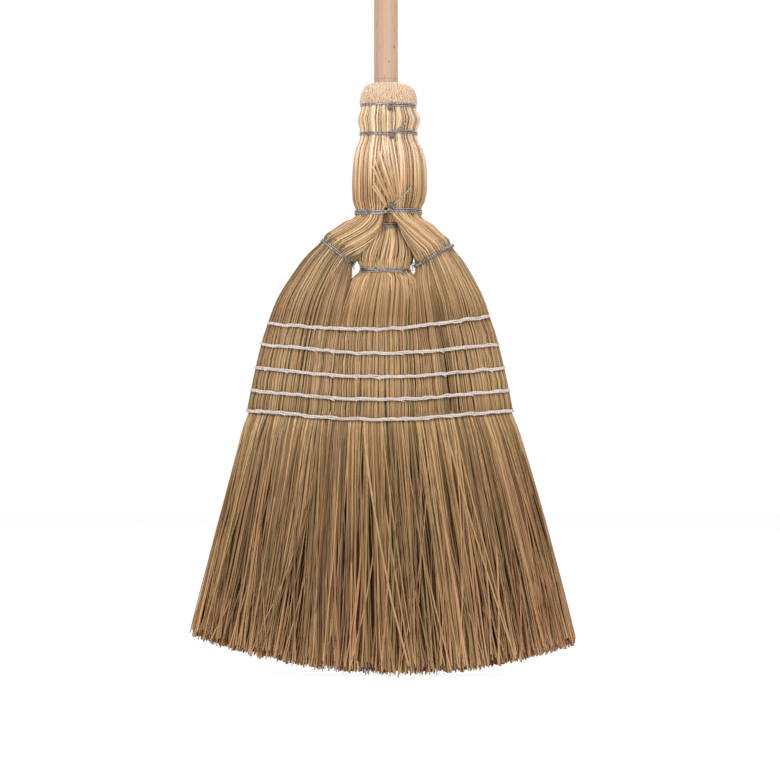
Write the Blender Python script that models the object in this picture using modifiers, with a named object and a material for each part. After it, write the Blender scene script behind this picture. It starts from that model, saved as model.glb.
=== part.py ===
"""Straw broom with a round wooden handle, three tied bundles and five sewn rows.

The frame is in metres, +Z up. The origin is on the handle's axis at the height of the lowest straw
tips. The front of the broom, where the nails are, faces -Y.

Each bundle of straw is one loft from the crown, through the tied neck and its own shoulder wire, to
the sewn fan. The loose straw below it is a second piece, held by the lowest sewn row.
"""

import math
import random

import bmesh
import bpy

# Heights: the whole broom's, then each stretch of the head from the straw tips up
OVERALL_HEIGHT = 1.400
LOOSE_STRAW_LENGTH = 0.256
SEWN_LENGTH = 0.090
FIRST_ROW_TO_WAIST = 0.058
WAIST_TO_WAIST_BULGE = 0.013
WAIST_TO_CORE_WIRE = 0.0455
CORE_WIRE_TO_NECK = 0.013
BELLY_LENGTH = 0.0785
UPPER_BULGE_LENGTH = 0.028
CROWN_LENGTH = 0.021

# Handle: its pointed tip reaches below the neck's bottom wire
HANDLE_DIAMETER = 0.024
HANDLE_END_ROUND = 0.004
HANDLE_TIP_DEPTH = 0.0325
HANDLE_TIP_DIAMETER = 0.010
HANDLE_POINT_LENGTH = 0.045

# Clearances
FACE_GAP = 0.0003
TURN_GAP = 0.00045
CUT_OVERRUN = 0.010

# Neck: how thick the straw is around the handle
CROWN_DROP = 0.003
CORE_STRAW = 0.0067
COVER_AT_TOP_WIRE = 0.0085
COVER_AT_BULGE = 0.012
COVER_AT_MIDDLE_WIRE = 0.0095
COVER_AT_BELLY = 0.018
COVER_AT_BOTTOM_WIRE = 0.0145
COVER_DEPTH_SHARE = 0.72
NECK_OFFSET = 0.0025
# (share of the height from the crown to the top wire, share of the cover there)
CROWN_SHARES = ((0.0, 0.15), (0.16, 0.62), (0.5, 0.90))
# (share of the height from the middle wire to the bottom wire, share of the belly's extra cover)
BELLY_SHARES = ((0.20, 0.50), (0.44, 0.90), (0.66, 1.0), (0.86, 0.86))

# Shoulders
WAIST_WIDTH = 0.0504
WAIST_DEPTH = 0.038
WAIST_BULGE = 0.0012
WAIST_SWELL_SHARE = 0.62
SHOULDER_WIDTH = 0.0435
SHOULDER_DEPTH = 0.040
SHOULDER_GAP = 0.0042
SHOULDER_RISE = 0.004
SHOULDER_BULGE = 0.0028
LEFT_TILT = math.radians(37.5)
RIGHT_TILT = math.radians(29.0)
# (share of the way from the neck to the shoulder wire, place of the thickest straw, bulge share)
SHOULDER_SHARES = ((0.33, 0.80, 0.9), (0.67, 0.62, 0.9))
# Shares of the way from a shoulder wire to the first row: outer X, outer Z, inner X, inner Z, depth
BELOW_SHOULDER_SHARES = (
    (0.27, 0.16, 0.22, 0.07, 0.0),
    (0.56, 0.42, 0.44, 0.24, 0.10),
    (0.84, 0.73, 0.70, 0.58, 0.45),
)
# Shares of the way from the waist wire to the first row: X, Z, depth
BELOW_WAIST_SHARES = ((0.40, 0.16, 0.0), (0.64, 0.46, 0.30), (0.84, 0.74, 0.65))

# Fan: the sewn part and the loose straw
# Place of each row, as a share of the height from the first row to the last
ROW_SHARES = (0.0, 0.27, 0.53, 0.78, 1.0)
FIRST_ROW_WIDTH = 0.220
LAST_ROW_WIDTH = 0.266
TIP_WIDTH = 0.386
WIDENING_POWER = 0.75
FAN_OFFSET = 0.006
TIP_OFFSET = 0.003
ROW_RISE = 0.009
TIP_RISE = 0.035
ROW_DEPTH = 0.031
FAN_DEPTH = 0.035
TIP_DEPTH = 0.052
BUNDLE_SPLIT_SHARE = 0.36
FAN_SQUARENESS = 6.0
ROUND_SQUARENESS = 2.0
BUNDLE_GAP = 0.0004

# Loose straws of each bundle
STRAW_COLUMN_COUNT = 20
STRAW_LINE_COUNT = 5
STRAW_TIP_SHARE = 0.72
STRAW_SWAY_SHARE = 0.20
STRAW_LENGTH_SPREAD = 0.006
STANDING_CUT = 0.0005
SEED = 11

# Wire, nails and twine
WIRE_DIAMETER = 0.0016
TOP_TURN_COUNT = 2
MIDDLE_TURN_COUNT = 2
BOTTOM_TURN_COUNT = 3
SHOULDER_TURN_COUNT = 2
WAIST_TURN_COUNT = 2
CORE_TURN_COUNT = 2
# Each neck wire's end: X, height above the top turn, and how far it stands off the straw
WIRE_TAILS = {
    "top": ((0.0105, 0.0010, 0.00132), (0.0135, 0.0035, 0.0022)),
    "middle": ((0.0135, 0.0025, 0.00198), (0.0230, 0.0080, 0.0033)),
    "bottom": ((0.0145, 0.0065, 0.00198), (0.0190, 0.0135, 0.0033), (0.0250, 0.0245, 0.00352)),
}
HOOK_LENGTH = 0.0024
NAIL_HEAD_DIAMETER = 0.006
NAIL_HEAD_HEIGHT = 0.0014
# The head's outline from its crown to its rim: shares of its radius and height
NAIL_HEAD_SHARES = ((0.0, 1.0), (0.62, 0.82), (1.0, 0.3), (0.96, 0.0))
NAIL_SHANK_DIAMETER = 0.002
NAIL_POINT_LENGTH = 0.003
NAIL_BITE = 0.008
NAIL_PLACE = 0.0042
NAIL_MIDDLE_PLACE = 0.0060
TWINE_DIAMETER = 0.0015
# Places of the needle holes across each bundle, as shares of its width
NEEDLE_SHARES = (0.16, 0.39, 0.61, 0.84)

# Mesh fineness
RING_POINT_COUNT = 20
HANDLE_STEP_COUNT = 24
NAIL_STEP_COUNT = 10
HOLE_SIDE_COUNT = 6
ROUND_POINT_COUNT = 3
TUBE_RESOLUTION = 0
MERGE_DISTANCE = 0.00002
SHARP_ANGLE = math.radians(35)

last_row_height = LOOSE_STRAW_LENGTH
first_row_height = last_row_height + SEWN_LENGTH
waist_height = first_row_height + FIRST_ROW_TO_WAIST
core_wire_height = waist_height + WAIST_TO_CORE_WIRE
bottom_wire_height = core_wire_height + CORE_WIRE_TO_NECK
middle_wire_height = bottom_wire_height + BELLY_LENGTH
top_wire_height = middle_wire_height + UPPER_BULGE_LENGTH
crown_height = top_wire_height + CROWN_LENGTH
handle_tip_height = bottom_wire_height - HANDLE_TIP_DEPTH

handle_radius = HANDLE_DIAMETER / 2
core_radius = handle_radius + FACE_GAP + CORE_STRAW
turn_pitch = WIRE_DIAMETER + TURN_GAP
wire_lift = FACE_GAP + WIRE_DIAMETER / 2
twine_lift = FACE_GAP + TWINE_DIAMETER / 2
row_half_band = 1.5 * TWINE_DIAMETER + TURN_GAP
half_last_spacing = (ROW_SHARES[-1] - ROW_SHARES[-2]) * SEWN_LENGTH / 2
body_end = last_row_height + half_last_spacing


def mix(a, b, share):
    return a + (b - a) * share


def mix_points(a, b, share):
    return tuple(mix(p, q, share) for p, q in zip(a, b))


class Section:
    """A cross-section between two points of the XZ plane, thickest along Y at the share `widest`."""

    def __init__(self, left, right, half_depth, widest=0.5, squareness=ROUND_SQUARENESS):
        self.left = left
        self.right = right
        self.half_depth = half_depth
        self.widest = widest
        self.squareness = squareness

    def across(self):
        """The unit vector from left to right, as (x, z)."""
        dx = self.right[0] - self.left[0]
        dz = self.right[1] - self.left[1]
        length = math.hypot(dx, dz)
        return dx / length, dz / length

    def down(self):
        """The unit vector square to the section, pointing down the bundle."""
        ax, az = self.across()
        return az, -ax

    def moved(self, distance):
        dx, dz = self.down()
        shift = (dx * distance, dz * distance)
        left = (self.left[0] + shift[0], self.left[1] + shift[1])
        right = (self.right[0] + shift[0], self.right[1] + shift[1])
        return Section(left, right, self.half_depth, self.widest, self.squareness)

    def raised(self, distance):
        left = (self.left[0], self.left[1] + distance)
        right = (self.right[0], self.right[1] + distance)
        return Section(left, right, self.half_depth, self.widest, self.squareness)

    def point(self, angle, grow=0.0):
        """The outline's point at an angle: 0 is the right end, 90 degrees the back."""
        c, s = math.cos(angle), math.sin(angle)
        reach = abs(c) ** (2 / self.squareness)
        depth = math.copysign(abs(s) ** (2 / self.squareness), s)
        middle = mix_points(self.left, self.right, self.widest)
        end = self.right if c > 0 else self.left
        ax, az = self.across()
        out = math.copysign(grow * reach, c)
        x = mix(middle[0], end[0], reach) + ax * out
        z = mix(middle[1], end[1], reach) + az * out
        return x, depth * (self.half_depth + grow), z

    def ring(self, grow=0.0):
        turn = 2 * math.pi / RING_POINT_COUNT
        return [self.point(i * turn, grow) for i in range(RING_POINT_COUNT)]


# The neck's outline

def neck_cover(height):
    """How thick the cover straw is at a height between the crown and the bottom wire."""
    table = [
        (mix(crown_height - CROWN_DROP, top_wire_height, share), COVER_AT_TOP_WIRE * cover)
        for share, cover in CROWN_SHARES
    ]
    table.append((top_wire_height, COVER_AT_TOP_WIRE))
    table.append(((top_wire_height + middle_wire_height) / 2, COVER_AT_BULGE))
    table.append((middle_wire_height, COVER_AT_MIDDLE_WIRE))
    for share, swell in BELLY_SHARES:
        base = mix(COVER_AT_MIDDLE_WIRE, COVER_AT_BOTTOM_WIRE, share)
        belly = mix(base, COVER_AT_BELLY, swell)
        table.append((mix(middle_wire_height, bottom_wire_height, share), belly))
    table.append((bottom_wire_height, COVER_AT_BOTTOM_WIRE))
    if height >= table[0][0]:
        return table[0][1]
    for (upper, cover_above), (lower, cover_below) in zip(table, table[1:]):
        if height >= lower:
            return mix(cover_above, cover_below, (upper - height) / (upper - lower))
    return table[-1][1]


def band_height(turns):
    """The height that a wire takes with its turns side by side."""
    return turns * turn_pitch + WIRE_DIAMETER


neck_bands = {
    "top": (top_wire_height, TOP_TURN_COUNT),
    "middle": (middle_wire_height, MIDDLE_TURN_COUNT),
    "bottom": (bottom_wire_height, BOTTOM_TURN_COUNT),
}


def neck_section(height, side=0):
    """The neck at a height: the whole outline for side 0, its left half for -1, its right for 1."""
    cover = neck_cover(height)
    for centre, turns in neck_bands.values():
        if abs(height - centre) <= band_height(turns) / 2 + MERGE_DISTANCE:
            cover = neck_cover(centre)
    left = (NECK_OFFSET - core_radius - cover, height)
    right = (NECK_OFFSET + core_radius + cover, height)
    half_depth = core_radius + cover * COVER_DEPTH_SHARE
    if side < 0:
        return Section(left, (-FACE_GAP / 2, height), half_depth, widest=1.0)
    if side > 0:
        return Section((FACE_GAP / 2, height), right, half_depth, widest=0.0)
    return Section(left, right, half_depth, widest=-left[0] / (right[0] - left[0]))


def neck_heights():
    """Heights of the neck's rings, from the crown to the lower edge of the bottom wire."""
    crown = crown_height - CROWN_DROP
    heights = [mix(crown, top_wire_height, share) for share, _ in CROWN_SHARES]
    for centre, turns in neck_bands.values():
        half = band_height(turns) / 2
        heights += [centre + half, centre - half]
    heights.append((top_wire_height + middle_wire_height) / 2)
    heights += [mix(middle_wire_height, bottom_wire_height, share) for share, _ in BELLY_SHARES]
    return sorted(heights, reverse=True)


def neck_front(x, height, lift):
    """The Y of a point that far in front of the neck's surface."""
    section = neck_section(height)
    reach = section.right[0] if x > 0 else -section.left[0]
    return -section.half_depth * math.sqrt(max(0.0, 1 - (x / reach) ** 2)) - lift


# The fan's outline

def fan_half_width(level):
    if level >= last_row_height:
        share = max(0.0, (first_row_height - level) / SEWN_LENGTH)
        return mix(FIRST_ROW_WIDTH, LAST_ROW_WIDTH, share**WIDENING_POWER) / 2
    return mix(LAST_ROW_WIDTH, TIP_WIDTH, 1 - level / last_row_height) / 2


def fan_point(level, u):
    """The (x, z) at a share u of the half width, on the curved line that a level follows."""
    loose = max(0.0, 1 - level / last_row_height)
    x = -mix(FAN_OFFSET, TIP_OFFSET, loose) + u * fan_half_width(level)
    return x, level + mix(ROW_RISE, TIP_RISE, loose) * u * u


BUNDLE_SPANS = {
    "left": (-1.0, -BUNDLE_SPLIT_SHARE),
    "centre": (-BUNDLE_SPLIT_SHARE, BUNDLE_SPLIT_SHARE),
    "right": (BUNDLE_SPLIT_SHARE, 1.0),
}


def fan_section(bundle, level, depth):
    """A bundle's section at a level of the fan, with half the gap to its neighbour left free."""
    first, last = BUNDLE_SPANS[bundle]
    left, right = fan_point(level, first), fan_point(level, last)
    if bundle != "left":
        left = (left[0] + BUNDLE_GAP / 2, left[1])
    if bundle != "right":
        right = (right[0] - BUNDLE_GAP / 2, right[1])
    return Section(left, right, depth / 2, squareness=FAN_SQUARENESS)


def row_level(row):
    return mix(first_row_height, last_row_height, ROW_SHARES[row])


def sewn_sections(bundle):
    """The body's sections from the first row to its end, drawn in at each row."""
    sections = []
    for row in range(len(ROW_SHARES) - 1):
        level = row_level(row)
        following = row_level(row + 1)
        sewn = fan_section(bundle, level, ROW_DEPTH)
        sections += [sewn.raised(row_half_band), sewn.raised(-row_half_band)]
        if row < len(ROW_SHARES) - 2:
            sections.append(fan_section(bundle, (level + following) / 2, FAN_DEPTH))
    sections.append(fan_section(bundle, body_end + FACE_GAP / 2, FAN_DEPTH))
    return sections


# The three bundles' sections

SIDES = {"left": (-1, LEFT_TILT), "right": (1, RIGHT_TILT)}


def shoulder_section(bundle):
    """The tilted section that a shoulder wire goes round."""
    side, tilt = SIDES[bundle]
    inner = (side * (WAIST_WIDTH / 2 + SHOULDER_GAP), waist_height + SHOULDER_RISE)
    outer = (
        inner[0] + side * SHOULDER_WIDTH * math.cos(tilt),
        inner[1] + SHOULDER_WIDTH * math.sin(tilt),
    )
    left, right = (outer, inner) if side < 0 else (inner, outer)
    return Section(left, right, SHOULDER_DEPTH / 2)


def side_section(side, outer, inner, half_depth, widest, squareness=ROUND_SQUARENESS):
    """A section from its outer and inner ends; `widest` counts from the outer end."""
    if side < 0:
        return Section(outer, inner, half_depth, widest, squareness)
    return Section(inner, outer, half_depth, 1 - widest, squareness)


def ends(section, side):
    return (section.left, section.right) if side < 0 else (section.right, section.left)


def side_bundle_sections(bundle):
    side, _ = SIDES[bundle]
    sections = [neck_section(height, side) for height in neck_heights()]
    half_band = band_height(SHOULDER_TURN_COUNT) / 2
    wired = [shoulder_section(bundle).moved(way * half_band) for way in (-1, 1)]
    start, finish = sections[-1], wired[0]
    start_ends, finish_ends = ends(start, side), ends(finish, side)
    for share, widest, bulge in SHOULDER_SHARES:
        outer = mix_points(start_ends[0], finish_ends[0], share)
        inner = mix_points(start_ends[1], finish_ends[1], share)
        chord = (finish_ends[0][0] - start_ends[0][0], finish_ends[0][1] - start_ends[0][1])
        length = math.hypot(*chord)
        push = SHOULDER_BULGE * bulge / length
        outer = (outer[0] - side * chord[1] * push, outer[1] + side * chord[0] * push)
        half_depth = mix(start.half_depth, finish.half_depth, share)
        sections.append(side_section(side, outer, inner, half_depth, widest))
    sections += wired
    sewn = sewn_sections(bundle)
    start_ends, finish_ends = ends(wired[1], side), ends(sewn[0], side)
    for outer_x, outer_z, inner_x, inner_z, thinning in BELOW_SHOULDER_SHARES:
        outer = (
            mix(start_ends[0][0], finish_ends[0][0], outer_x),
            mix(start_ends[0][1], finish_ends[0][1], outer_z),
        )
        inner = (
            mix(start_ends[1][0], finish_ends[1][0], inner_x),
            mix(start_ends[1][1], finish_ends[1][1], inner_z),
        )
        half_depth = mix(SHOULDER_DEPTH, ROW_DEPTH, thinning) / 2
        squareness = mix(ROUND_SQUARENESS, FAN_SQUARENESS, thinning)
        sections.append(side_section(side, outer, inner, half_depth, 0.5, squareness))
    return sections + sewn


def round_section(height, radius):
    return Section((-radius, height), (radius, height), radius)


def core_sections(cutter=False):
    """The centre bundle above its waist. As a cutter it is grown, passes the crown and has no pinch."""
    grow = FACE_GAP if cutter else 0.0
    radius = core_radius + grow
    pinched = radius if cutter else core_radius - WIRE_DIAMETER - FACE_GAP
    half_band = band_height(CORE_TURN_COUNT) / 2
    low_edge = core_wire_height - half_band
    if cutter:
        sections = [round_section(crown_height + CUT_OVERRUN, radius)]
    else:
        trimmed = handle_radius + FACE_GAP + CORE_STRAW / 2
        sections = [
            round_section(crown_height, trimmed),
            round_section(crown_height - CROWN_DROP / 2, radius),
        ]
        sections.append(round_section(core_wire_height + half_band + WIRE_DIAMETER, radius))
    sections.append(round_section(core_wire_height + half_band, pinched))
    sections.append(round_section(low_edge, pinched))
    waist_radius = WAIST_WIDTH / 2 + grow
    waist_half_depth = WAIST_DEPTH / 2 + grow
    bulge_height = waist_height + WAIST_TO_WAIST_BULGE
    bulge = Section(
        (-waist_radius - WAIST_BULGE, bulge_height),
        (waist_radius + WAIST_BULGE, bulge_height),
        waist_half_depth + WAIST_BULGE,
    )
    between = mix(low_edge, bulge_height, 0.5)
    middle_radius = mix(radius, bulge.right[0], WAIST_SWELL_SHARE)
    middle_depth = mix(radius, bulge.half_depth, WAIST_SWELL_SHARE)
    sections.append(Section((-middle_radius, between), (middle_radius, between), middle_depth))
    sections.append(bulge)
    half_waist_band = band_height(WAIST_TURN_COUNT) / 2
    for height in (waist_height + half_waist_band, waist_height - half_waist_band):
        sections.append(Section((-waist_radius, height), (waist_radius, height), waist_half_depth))
    return sections


def waist_section():
    return Section((-WAIST_WIDTH / 2, waist_height), (WAIST_WIDTH / 2, waist_height), WAIST_DEPTH / 2)


def centre_bundle_sections():
    sections = core_sections()
    sewn = sewn_sections("centre")
    start, finish = sections[-1], sewn[0]
    for x_share, z_share, thinning in BELOW_WAIST_SHARES:
        z = mix(start.left[1], finish.left[1], z_share)
        left = (mix(start.left[0], finish.left[0], x_share), z)
        right = (mix(start.right[0], finish.right[0], x_share), z)
        half_depth = mix(WAIST_DEPTH, ROW_DEPTH, thinning) / 2
        squareness = mix(ROUND_SQUARENESS, FAN_SQUARENESS, thinning)
        sections.append(Section(left, right, half_depth, squareness=squareness))
    return sections + sewn


# Blender helpers

def clear_scene():
    for obj in list(bpy.data.objects):
        bpy.data.objects.remove(obj, do_unlink=True)


def make_collection(name, hidden=False):
    collection = bpy.data.collections.new(name)
    bpy.context.scene.collection.children.link(collection)
    collection.hide_render = hidden
    return collection


def make_material(name, colour, roughness, metallic=0.0):
    material = bpy.data.materials.new(name)
    material.use_nodes = True
    shader = material.node_tree.nodes["Principled BSDF"]
    shader.inputs["Base Color"].default_value = (*colour, 1.0)
    shader.inputs["Roughness"].default_value = roughness
    shader.inputs["Metallic"].default_value = metallic
    material.diffuse_color = (*colour, 1.0)
    return material


def add_object(name, data, collection, material=None):
    obj = bpy.data.objects.new(name, data)
    collection.objects.link(obj)
    if material is not None:
        data.materials.append(material)
    return obj


def mesh_from(bm, name, smooth=False):
    if bm.calc_volume(signed=True) < 0:
        bmesh.ops.reverse_faces(bm, faces=bm.faces)
    mesh = bpy.data.meshes.new(name)
    bm.to_mesh(mesh)
    bm.free()
    if smooth:
        mesh.shade_smooth()
        mesh.set_sharp_from_angle(angle=SHARP_ANGLE)
    return mesh


def loft(name, sections):
    """A closed skin through the sections' rings, from the top down."""
    bm = bmesh.new()
    rings = [[bm.verts.new(p) for p in section.ring()] for section in sections]
    for upper, lower in zip(rings, rings[1:]):
        for i in range(RING_POINT_COUNT):
            j = (i + 1) % RING_POINT_COUNT
            bm.faces.new((upper[i], lower[i], lower[j], upper[j]))
    bm.faces.new(rings[0])
    bm.faces.new(list(reversed(rings[-1])))
    return mesh_from(bm, name, smooth=True)


def turned(name, profile, steps, collection, material):
    """A profile in XZ, top to bottom on its outer side, turned about Z."""
    mesh = bpy.data.meshes.new(name)
    edges = [(i, i + 1) for i in range(len(profile) - 1)]
    mesh.from_pydata([(x, 0.0, z) for x, z in profile], edges, [])
    obj = add_object(name, mesh, collection, material)
    screw = obj.modifiers.new("turn", "SCREW")
    screw.steps = steps
    screw.render_steps = steps
    screw.use_merge_vertices = True
    screw.merge_threshold = MERGE_DISTANCE
    screw.use_smooth_shade = True
    return obj


def cut(obj, cutter):
    boolean = obj.modifiers.new("cut by " + cutter.name, "BOOLEAN")
    boolean.operation = "DIFFERENCE"
    boolean.object = cutter


def tube(name, points, diameter, collection, material):
    """A round cord or wire through the points."""
    curve = bpy.data.curves.new(name, "CURVE")
    curve.dimensions = "3D"
    curve.bevel_depth = diameter / 2
    curve.bevel_resolution = TUBE_RESOLUTION
    curve.use_fill_caps = True
    spline = curve.splines.new("POLY")
    spline.points.add(len(points) - 1)
    for target, point in zip(spline.points, points):
        target.co = (*point, 1.0)
    return add_object(name, curve, collection, material)


def least_gap(points, diameter):
    """The least clear distance between parts of a tube that aren't next to each other along it."""
    step = diameter / 2
    samples, along, travelled = [], [], 0.0
    for a, b in zip(points, points[1:]):
        length = math.dist(a, b)
        count = max(1, math.ceil(length / step))
        for i in range(count):
            samples.append(mix_points(a, b, i / count))
            along.append(travelled + length * i / count)
        travelled += length
    least = math.inf
    for i, p in enumerate(samples):
        for j in range(i + 1, len(samples)):
            if along[j] - along[i] > math.pi * diameter:
                least = min(least, math.dist(p, samples[j]))
    return least - diameter


# The pieces

def handle_profile(grow=0.0, overrun=0.0):
    """The handle's half outline, or that of its bore with a clearance and an overrun at the top."""
    radius = handle_radius + grow
    tip_radius = HANDLE_TIP_DIAMETER / 2 + grow
    tip = handle_tip_height - grow
    if overrun:
        outline = [(0.0, crown_height + overrun), (radius, crown_height + overrun)]
    else:
        outline = [(0.0, OVERALL_HEIGHT)]
        for i in range(ROUND_POINT_COUNT + 1):
            angle = math.pi / 2 * (1 - i / ROUND_POINT_COUNT)
            outline.append(
                (
                    radius - HANDLE_END_ROUND * (1 - math.cos(angle)),
                    OVERALL_HEIGHT - HANDLE_END_ROUND * (1 - math.sin(angle)),
                )
            )
    outline.append((radius, handle_tip_height + HANDLE_POINT_LENGTH))
    outline.append((tip_radius, tip))
    outline.append((0.0, tip))
    return outline


def nail_reach(height, lift):
    """The Y of a nail head's underside."""
    return -neck_section(height).half_depth - lift


def nail_places():
    """Each nail's name, x, height and the Y of its head's underside."""
    beside = WIRE_DIAMETER / 2 + turn_pitch + NAIL_SHANK_DIAMETER / 2 + FACE_GAP
    below_top = top_wire_height - beside
    below_middle = middle_wire_height - beside
    above_bottom = bottom_wire_height + beside + turn_pitch / 2
    seat = WIRE_DIAMETER + 4 * FACE_GAP
    return [
        ("nail_top", NAIL_PLACE, below_top, nail_reach(top_wire_height, seat)),
        ("nail_middle", NAIL_MIDDLE_PLACE, below_middle, nail_reach(middle_wire_height, seat)),
        ("nail_bottom", NAIL_PLACE, above_bottom, nail_reach(bottom_wire_height, seat)),
    ]


def nail_depth(x):
    """The Y of a nail's point inside the handle."""
    return -math.sqrt(handle_radius**2 - x**2) + NAIL_BITE


def make_nails(collection, material):
    head, shank = NAIL_HEAD_DIAMETER / 2, NAIL_SHANK_DIAMETER / 2
    for name, x, height, seat in nail_places():
        length = nail_depth(x) - seat
        profile = [(head * across, NAIL_HEAD_HEIGHT * up) for across, up in NAIL_HEAD_SHARES]
        profile += [(shank, 0.0), (shank, NAIL_POINT_LENGTH - length), (0.0, -length)]
        nail = turned(name, profile, NAIL_STEP_COUNT, collection, material)
        nail.location = (x, seat, height)
        nail.rotation_euler = (math.pi / 2, 0.0, 0.0)


def rod_cutter(bm, start, finish, radius, sides):
    """Adds a rod along Y to a cutter's mesh."""
    x, y, z = mix_points(start, finish, 0.5)
    made = bmesh.ops.create_cone(
        bm,
        cap_ends=True,
        segments=sides,
        radius1=radius,
        radius2=radius,
        depth=abs(finish[1] - start[1]),
    )
    for vert in made["verts"]:
        vert.co = (vert.co.x + x, vert.co.z + y, z - vert.co.y)


def make_nail_cutter(collection):
    bm = bmesh.new()
    radius = NAIL_SHANK_DIAMETER / 2 + FACE_GAP
    for _, x, height, seat in nail_places():
        start = (x, seat - CUT_OVERRUN, height)
        finish = (x, nail_depth(x) + FACE_GAP, height)
        rod_cutter(bm, start, finish, radius, 2 * HOLE_SIDE_COUNT)
    return add_object("nail_holes", mesh_from(bm, "nail_holes"), collection)


def needle_holes(row):
    """The u, x and z of each needle hole of a row, alternately below and above the row's line."""
    level = row_level(row)
    holes = []
    for bundle in BUNDLE_SPANS:
        section = fan_section(bundle, level, ROW_DEPTH)
        for share in NEEDLE_SHARES:
            x, z = mix_points(section.left, section.right, share)
            holes.append((x, z + (1 if len(holes) % 2 else -1) * (TWINE_DIAMETER + TURN_GAP)))
    return holes


def make_needle_cutter(collection):
    bm = bmesh.new()
    radius = TWINE_DIAMETER / 2 + FACE_GAP
    reach = FAN_DEPTH / 2 + CUT_OVERRUN
    for row in range(len(ROW_SHARES)):
        for x, z in needle_holes(row):
            rod_cutter(bm, (x, -reach, z), (x, reach, z), radius, HOLE_SIDE_COUNT)
    return add_object("needle_holes", mesh_from(bm, "needle_holes"), collection)


def straw_cell(section, p, q):
    """A point of a fan section from its share p across and q through, both from -1 to 1."""
    corner_share = 2 ** (-1 / section.squareness)
    across = p * math.sqrt(1 - (1 - corner_share**2) * q * q)
    through = q * math.sqrt(1 - (1 - corner_share**2) * p * p)
    x, z = mix_points(section.left, section.right, (across + 1) / 2)
    return x, through * section.half_depth, z


def straw_tip(bundle, p, q, lift):
    """Where a loose straw ends, on the curve that the tips are cut to."""
    first, last = BUNDLE_SPANS[bundle]
    u = mix(first, last, (p + 1) / 2)
    x, z = fan_point(0.0, u)
    z += lift
    if z < STANDING_CUT:
        z = 0.0
    return x, q * TIP_DEPTH / 2, z


def loose_straw_mesh(bundle):
    """A slice of the fan with its lower face drawn out into tapering straws."""
    name = bundle + "_bristles"
    rng = random.Random(f"{SEED}{bundle}")
    sewn = fan_section(bundle, last_row_height, ROW_DEPTH)
    top = fan_section(bundle, body_end - FACE_GAP / 2, FAN_DEPTH)
    bm = bmesh.new()
    bmesh.ops.create_grid(bm, x_segments=STRAW_COLUMN_COUNT, y_segments=STRAW_LINE_COUNT, size=1.0)
    shares = {vert: (vert.co.x, vert.co.y) for vert in bm.verts}
    lower = list(bm.faces)
    rim = [edge for edge in bm.edges if edge.is_boundary]
    for vert, (p, q) in shares.items():
        vert.co = straw_cell(sewn.raised(-row_half_band - TWINE_DIAMETER), p, q)
    for section in (sewn.raised(row_half_band), top):
        below = {vert for edge in rim for vert in edge.verts}
        made = bmesh.ops.extrude_edge_only(bm, edges=rim)["geom"]
        rim = [item for item in made if isinstance(item, bmesh.types.BMEdge) and item.is_boundary]
        for vert in (item for item in made if isinstance(item, bmesh.types.BMVert)):
            source = next(e.other_vert(vert) for e in vert.link_edges if e.other_vert(vert) in below)
            shares[vert] = shares[source]
            vert.co = straw_cell(section, *shares[vert])
    bmesh.ops.contextual_create(bm, geom=rim)
    cells = []
    for face in lower:
        p = sum(shares[v][0] for v in face.verts) / len(face.verts)
        q = sum(shares[v][1] for v in face.verts) / len(face.verts)
        cells.append([(shares[v][0] - p, shares[v][1] - q) for v in face.verts] + [(p, q)])
    straws = bmesh.ops.extrude_discrete_faces(bm, faces=lower)["faces"]
    for face, cell in zip(straws, cells):
        p, q = cell[-1]
        sway = [rng.uniform(-STRAW_SWAY_SHARE, STRAW_SWAY_SHARE) for _ in range(2)]
        p += sway[0] / STRAW_COLUMN_COUNT
        q += sway[1] / STRAW_LINE_COUNT
        lift = max(0.0, rng.uniform(-STRAW_LENGTH_SPREAD, STRAW_LENGTH_SPREAD))
        for vert, (dp, dq) in zip(face.verts, cell):
            vert.co = straw_tip(bundle, p + dp * STRAW_TIP_SHARE, q + dq * STRAW_TIP_SHARE, lift)
    bmesh.ops.recalc_face_normals(bm, faces=bm.faces)
    return mesh_from(bm, name)


def winding(section, turns, extra=0):
    """A wire's points, turn on turn up a bundle from the front, and some steps further round."""
    step = 2 * math.pi / RING_POINT_COUNT
    points = []
    for i in range(turns * RING_POINT_COUNT + extra + 1):
        rise = (i / RING_POINT_COUNT - turns / 2) * turn_pitch
        points.append(section.moved(-rise).point(i * step - math.pi / 2, wire_lift))
    return points


def neck_wire_points(name):
    """A neck wire. One that has its nail below starts hooked beside it; the other end stands off."""
    height, turns = neck_bands[name]
    points = winding(neck_section(height), turns, extra=1)
    _, nail_x, nail_z, _ = next(place for place in nail_places() if place[0] == "nail_" + name)
    if nail_z < height:
        hook_x = nail_x + NAIL_SHANK_DIAMETER / 2 + WIRE_DIAMETER / 2 + FACE_GAP
        hook_z = nail_z - HOOK_LENGTH / 2
        points[0] = (hook_x, neck_front(hook_x, hook_z, wire_lift + FACE_GAP), hook_z)
    top = height + turns / 2 * turn_pitch
    for x, rise, lift in WIRE_TAILS[name]:
        points.append((x, neck_front(x, top + rise, wire_lift + lift), top + rise))
    return points


def tied_wire_points(section, turns):
    """A shoulder or waist wire, with a short twisted end standing off the front."""
    points = winding(section, turns)
    ax, az = section.across()
    dx, dz = section.down()
    x, y, z = points[-1]
    for along, rise in ((1, 0), (2, 1)):
        reach, lift = along * HOOK_LENGTH, rise * HOOK_LENGTH
        points.append((x + ax * reach - dx * lift, y - wire_lift, z + az * reach - dz * lift))
    return points


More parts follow.
